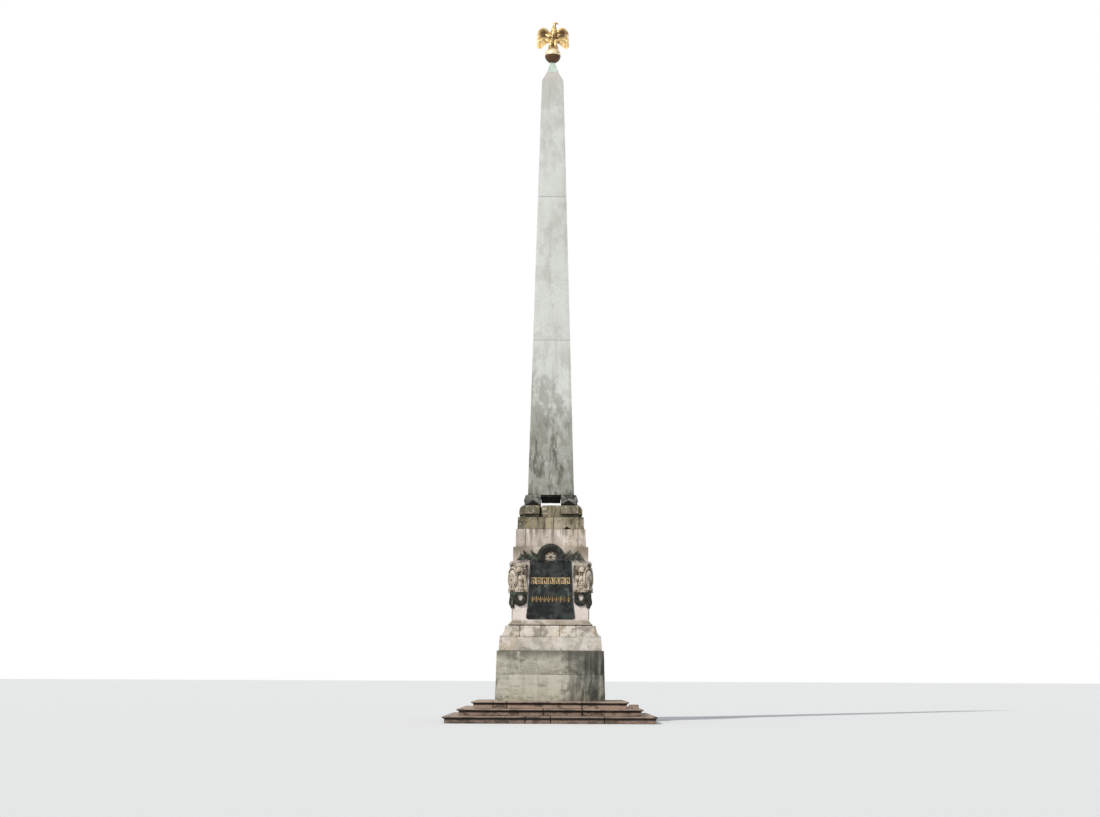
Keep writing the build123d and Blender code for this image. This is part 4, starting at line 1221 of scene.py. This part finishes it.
def mantle(shape, place):
    """Mantle drawn to both sides like a tent, from a knot under the helmet, with leaves at its edges."""
    for way in (-1, 1):
        for fold in range(5):
            spread = 0.016 * fold
            path = [
                place(way * (0.02 + 0.6 * spread), 0.07 - 0.006 * fold, 0.58 - 0.008 * fold),
                place(way * (0.1 + 1.1 * spread), 0.075 - 0.008 * fold, 0.47 + 0.012 * fold),
                place(way * (0.135 + spread), 0.06 - 0.006 * fold, 0.34),
                place(way * (0.145 + 0.9 * spread), 0.055 - 0.006 * (fold % 2), 0.2),
                place(way * (0.14 + spread), 0.06, 0.06 + 0.012 * (fold % 2)),
            ]
            radii = (0.011, 0.017 + 0.004 * (fold == 0), 0.016, 0.014, 0.017)
            smooth = [along_path(path, step / 12) for step in range(13)]
            shape.tube(smooth, [radii[step // 3] for step in range(13)], 10)
        for level in (0.11, 0.26, 0.3):
            root = place(way * 0.13, 0.06, level + 0.1)
            tip = place(way * 0.205, 0.04, level)
            shape.blade(root, tip - root, FRONT * 0.03, FRONT, 0.06, 0.016)
    shape.ball(place(0, 0.09, 0.575), (0.03, 0.03, 0.022))


def helmet(shape, helm):
    """Helmet with its brim, cheek pieces and a crest of hair."""
    bowl = ((0.084, -0.03), (0.094, -0.01), (0.1, 0.035), (0.092, 0.085), (0.062, 0.125), (0.014, 0.142))
    brim = ((0.096, -0.022), (0.118, -0.014), (0.118, 0.0), (0.098, 0.01))
    shape.lathe(helm, UP, bowl, 22, RIGHT, 0.95)
    shape.lathe(helm, UP, brim, 22, RIGHT)
    for cheek in (-1, 1):
        root = helm + Vector((cheek * 0.066, -0.05, -0.01))
        reach = Vector((-cheek * 0.02, -0.012, -0.09))
        bend = Vector((cheek * 0.012, -0.012, 0))
        shape.blade(root, reach, bend, Vector((cheek * 0.6, -0.8, 0)), 0.06, 0.014)
    # The crest, and the carving made after it, have roots painted in shade
    shape.root_shade = 0.9
    for way in fan(17, 0.04, 0.92 / 16):
        root = helm + Vector((way.x * 0.08, -0.012, 0.04 + way.z * 0.085))
        reach = Vector((way.x * 0.055, -0.012, way.z * 0.06 + 0.006))
        shape.blade(root, reach, FRONT * 0.02, FRONT, 0.036, 0.024, 5)


def spears(shape, place):
    """Two crossed spears with leaf points and collars, over a fan of palm leaves."""
    for way in fan(11, 0.1, 0.08):
        root = place(0, 0.03, 0.66) + way * 0.1
        reach = Vector((way.x * 0.11, -0.02, way.z * 0.16))
        shape.blade(root, reach, FRONT * 0.03, FRONT, 0.068, 0.02)
    for start, end in ((0.16, -0.185), (-0.18, 0.16)):
        low = place(start, 0.04, 0.07)
        high = place(end, 0.055, 0.9)
        along = (high - low).normalized()
        neck = high - along * 0.08
        shape.tube([low, high], (0.015, 0.014), 10)
        shape.blade(neck, along * 0.13, along * -0.025, FRONT, 0.07, 0.018)
        shape.lathe(neck, along, ((0.016, -0.02), (0.026, -0.012), (0.026, 0), (0.014, 0.008)), 10)


def flag(shape, place):
    """Flag that hangs in four folds on the plaque's side."""
    rings = []
    for fall in (row / 8 for row in range(9)):
        front = []
        back = []
        for share in (step / 16 for step in range(17)):
            swell = 0.5 + 0.5 * math.cos(8 * math.pi * share + 1.7 * fall)
            across = -0.175 + (share - 0.5) * 0.13 * (0.8 + 0.3 * fall)
            level = 0.86 - 0.42 * fall + 0.018 * math.sin(9 * share + 2 * fall) * fall
            front.append(place(across, 0.022 + 0.05 * swell * (0.5 + 0.5 * fall), level))
            back.append(place(across, 0.0, level))
        rings.append(front + back[::-1])
    shape.loft(rings)


def arms_shape(side):
    """Arms on one end of a face, made for the front: helmet, cuirass, mantle, spears, flag and leaves."""
    shape = Shape()
    middle = ARMS_INNER + 0.56 * (DIE_FACE - ARMS_INNER)

    def place(across, out, level):
        """From the trophy's middle toward the corner, out of the die, and up its height."""
        return Vector((side * (middle + across), -(DIE_FACE + out), TROPHY_Z + level * TROPHY_TALL))

    foot = place(0, 0.02, 0)
    ground = ((0.205, -0.01), (0.205, 0.016), (0.19, 0.024))
    shape.lathe(place(-0.02, 0, 0.46), FRONT, ground, 32, RIGHT, 0.44 * TROPHY_TALL / 0.205)
    cuirass(shape, foot)
    mantle(shape, place)
    helmet(shape, foot + UP * 0.655 * TROPHY_TALL + FRONT * 0.012)
    spears(shape, place)
    flag(shape, place)
    # Ledge and a few laurel leaves over it
    shape.bar(place(-0.235, -0.01, 0.02), place(0.18, -0.01, 0.02), FRONT, 0.036, 0.066)
    for index in range(9):
        root = place(-0.2 + 0.045 * index, 0.055, 0.05)
        lean = 0.03 if index % 2 else -0.02
        reach = Vector((side * lean, -0.012, 0.07 + 0.012 * (index % 3)))
        shape.blade(root, reach, FRONT * 0.016, FRONT, 0.045, 0.009)
    # Soot and painted shade in the hollows
    shape.shade_and_soot(arms_shade_and_soot)
    return shape


def arms_shade_and_soot(point):
    """Soot and painted shade in the hollows of a trophy, none on what stands well out of the die."""
    proud = 0.075
    hollow = 0.025
    share = min(max((proud - (-point.y - DIE_FACE)) / (proud - hollow), 0), 1)
    return share * share * (3 - 2 * share)


def corner_shield_shape():
    """Oval shield across the corner between the front and the face to its right."""
    shape = Shape()
    out = Vector((1, -1, 0)).normalized()
    across = Vector((1, 1, 0)).normalized()
    corner = Vector((DIE_FACE, -DIE_FACE, TROPHY_Z))
    centre = corner + UP * 0.42 * TROPHY_TALL
    rim = ((0.185, -0.03), (0.19, 0.012), (0.18, 0.03), (0.163, 0.03), (0.158, 0.012))
    groove = ((0.16, 0.0), (0.158, 0.014), (0.142, 0.02))
    field = ((0.143, 0.01), (0.138, 0.024), (0.12, 0.036), (0.06, 0.048), (0.02, 0.052))
    # The groove inside the rim is painted black, as in shade
    for shade, profile in ((0.0, rim), (0.95, groove), (0.0, field)):
        shape.shade = shade
        shape.lathe(centre, out, profile, 36, across, 2 * TROPHY_TALL)
    boss = ((0.05, 0), (0.056, 0.01), (0.04, 0.028), (0.012, 0.04))
    shape.lathe(centre + out * 0.045, out, boss, 18, across, 1.3)
    # Roots of the petals and the leaves painted in shade
    shape.root_shade = 0.9
    for way in fan(12, 0, 1 / 6, across, UP * 1.6):
        root = centre + way * 0.06 + out * 0.044
        shape.blade(root, way * 0.058 - out * 0.01, out * 0.014, out, 0.032, 0.009)
    # Fans of leaves fill the corner over and under the shield
    for level, reach, flat in ((0.86, 0.12, 1), (0.04, 0.105, 0.6)):
        spot = corner + UP * level * TROPHY_TALL
        for way in fan(9, 0, 1 / 8, across, UP * flat):
            shape.blade(spot, way * reach + out * 0.03, out * 0.04, out, 0.054, 0.016)
    return shape


right_arms = arms_shape(1)
left_arms = arms_shape(-1)
shield = corner_shield_shape()
for index, corner_name in enumerate(CORNER_NAMES):
    node = f"trophy_{corner_name}"
    carving = onto_faces((right_arms, index), (left_arms, index + 1), (shield, index))
    finish_shape(carving, f"{node}_carving", "carved_marble", [node])


def swag_shape(side):
    """A hanging swag of leaves and fruit with its ribbon and bows, made for the front."""
    shape = Shape()
    rolls = random.Random(5)
    middle = side * (PLAQUE_HALF + SWAG_GAP + SWAG_HALF)
    path = []
    for share in (step / 24 for step in range(25)):
        turn = math.pi * (1 + min(max((share - 0.2) / 0.6, 0), 1))
        lift = max(0.2 - share, share - 0.8, 0)
        point = Vector((SWAG_HALF * math.cos(turn), 0, SWAG_HALF * math.sin(turn) + lift))
        path.append(Vector((middle, -DIE_FACE - 0.022, TROPHY_Z - SWAG_DROP + SWAG_HALF)) + point)
    radii = [0.034 + 0.042 * math.sin(math.pi * step / 24) ** 1.5 for step in range(25)]
    # The rope under the leaves is painted in shade, and so are the roots of leaves and bows
    shape.shade = 0.8
    shape.root_shade = 0.9
    shape.tube(path, radii, 12)
    shape.shade = 0.0
    for step in range(1, 24):
        along = (path[step + 1] - path[step - 1]).normalized() * (-1 if step > 12 else 1)
        across = along.cross(FRONT).normalized()
        for index in range(6):
            turn = math.pi * (index + rolls.random() * 0.5) / 5.5
            out = across * math.cos(turn) + FRONT * math.sin(turn)
            root = path[step] + out * radii[step] * 0.85
            if (step + index) % 3 == 0:
                shape.ball(root + out * 0.006, (0.015,) * 3, sides=8)
            shape.blade(root, out * 0.024 - along * 0.05, out * 0.016, out, 0.03, 0.006, 4)
    # Ribbon across the top with a bow over each end
    top_z = TROPHY_Z - 0.05
    for end in (-1, 1):
        knot = Vector((middle + end * SWAG_HALF, -DIE_FACE - 0.05, top_z))
        shape.ball(knot, (0.034, 0.026, 0.034), FRONT)
        for way in (-1, 1):
            for drop in (0.02, -0.055):
                reach = Vector((way * 0.085, 0.012, drop))
                shape.blade(knot, reach, Vector((0, -0.03, 0.02)), FRONT, 0.055, 0.014)
    rings = []
    half = SWAG_HALF + 0.07
    for step in range(13):
        spot = Vector((middle + (step / 6 - 1) * half, -DIE_FACE, top_z + 0.012 * math.sin(step * 1.9)))
        rings.append([spot + UP * level + FRONT * out for level, out in RIBBON_SECTION])
    shape.loft(rings)
    return shape


def drop_shape():
    """The drop of leaves and fruit on the corner between the front and the face to its right."""
    shape = Shape()
    rolls = random.Random(9)
    shares = [step / 12 for step in range(13)]
    path = [Vector((DIE_FACE, -DIE_FACE, TROPHY_Z - DROP_LENGTH * share)) for share in shares]
    radii = [0.03 + 0.022 * math.sin(math.pi * (0.15 + 0.8 * share)) for share in shares]
    radii[-1] = 0.012
    # The rope under the leaves is painted in shade, and so are the roots of the leaves
    shape.shade = 0.8
    shape.root_shade = 0.9
    shape.tube(path, radii, 14)
    shape.shade = 0.0
    for step in range(12):
        for index in range(8):
            turn = 2 * math.pi * (index + rolls.random() * 0.6 + 0.5 * (step % 2)) / 8
            out = Vector((math.cos(turn), math.sin(turn), 0))
            if out.x < -0.5 and out.y > 0.5:
                continue
            root = path[step] + out * radii[step] * 0.9
            if (step + index) % 3 == 0:
                shape.ball(root + out * 0.004, (0.015,) * 3, sides=8)
            shape.blade(root, out * 0.014 - UP * 0.056, out * 0.014, out, 0.034, 0.006, 4)
    return shape


right_swag = swag_shape(1)
left_swag = swag_shape(-1)
drop = drop_shape()
for index, corner_name in enumerate(CORNER_NAMES):
    node = f"festoon_{corner_name}"
    festoon = onto_faces((right_swag, index), (left_swag, index + 1), (drop, index))
    finish_shape(festoon, f"{node}_leaves", "dark_bronze", [node])

# Floor
FLOOR_HALF = 600
floor_mesh = bpy.data.meshes.new("floor")
corners = [(x * FLOOR_HALF, y * FLOOR_HALF, 0) for x, y in ((-1, -1), (1, -1), (1, 1), (-1, 1))]
floor_mesh.from_pydata(corners, [], [(0, 1, 2, 3)])
floor_mesh.materials.append(Look("floor", (250, 250, 250), roughness=0.95).done())
floor = bpy.data.objects.new("floor", floor_mesh)
bpy.context.scene.collection.objects.link(floor)

# Sky: white where it is seen straight, mirrored or through, and dim as a light
world = bpy.data.worlds.new("studio")
bpy.context.scene.world = world
world.use_nodes = True
world.node_tree.nodes.clear()
sky = Nodes(world.node_tree)
seen = 0.0
for ray in ("Is Camera Ray", "Is Glossy Ray", "Is Transmission Ray"):
    seen = sky.math("MAXIMUM", seen, sky.node("ShaderNodeLightPath", ray))
dim = sky.node("ShaderNodeBackground", 0, {"Color": (0.86, 0.93, 1.0, 1), "Strength": 0.4})
bright = sky.node("ShaderNodeBackground", 0, {"Color": (1, 1, 1, 1), "Strength": 1.0})
blend = sky.node("ShaderNodeMixShader", 0, {0: seen, 1: dim, 2: bright})
sky.put(sky.tree.nodes.new("ShaderNodeOutputWorld").inputs["Surface"], blend)

# Sun high on the front left
SUN_FROM = Vector((-0.55, -0.62, 0.62))
sun_data = bpy.data.lights.new("sun", "SUN")
sun_data.energy = 2.35
sun_data.angle = math.radians(2)
sun_data.color = (1.0, 0.965, 0.91)
sun = bpy.data.objects.new("sun", sun_data)
sun.rotation_mode = "QUATERNION"
sun.rotation_quaternion = SUN_FROM.to_track_quat("Z", "Y")
bpy.context.scene.collection.objects.link(sun)

# Camera of the photograph
camera_data = bpy.data.cameras.new("camera")
camera_data.sensor_width = SENSOR_WIDTH
camera_data.lens = FOCAL_POINTS * SENSOR_WIDTH / PHOTO_WIDTH
camera_data.clip_end = 2000
camera = bpy.data.objects.new("camera", camera_data)
camera.location = (CAMERA_SHIFT, -CAMERA_DISTANCE, CAMERA_HEIGHT)
tilt = Matrix.Rotation(math.radians(90 + CAMERA_TILT), 4, "X")
roll = Matrix.Rotation(math.radians(CAMERA_ROLL), 4, "Z")
camera.rotation_euler = (tilt @ roll).to_euler()
bpy.context.scene.collection.objects.link(camera)
bpy.context.scene.camera = camera
bpy.context.scene.view_settings.view_transform = "Standard"
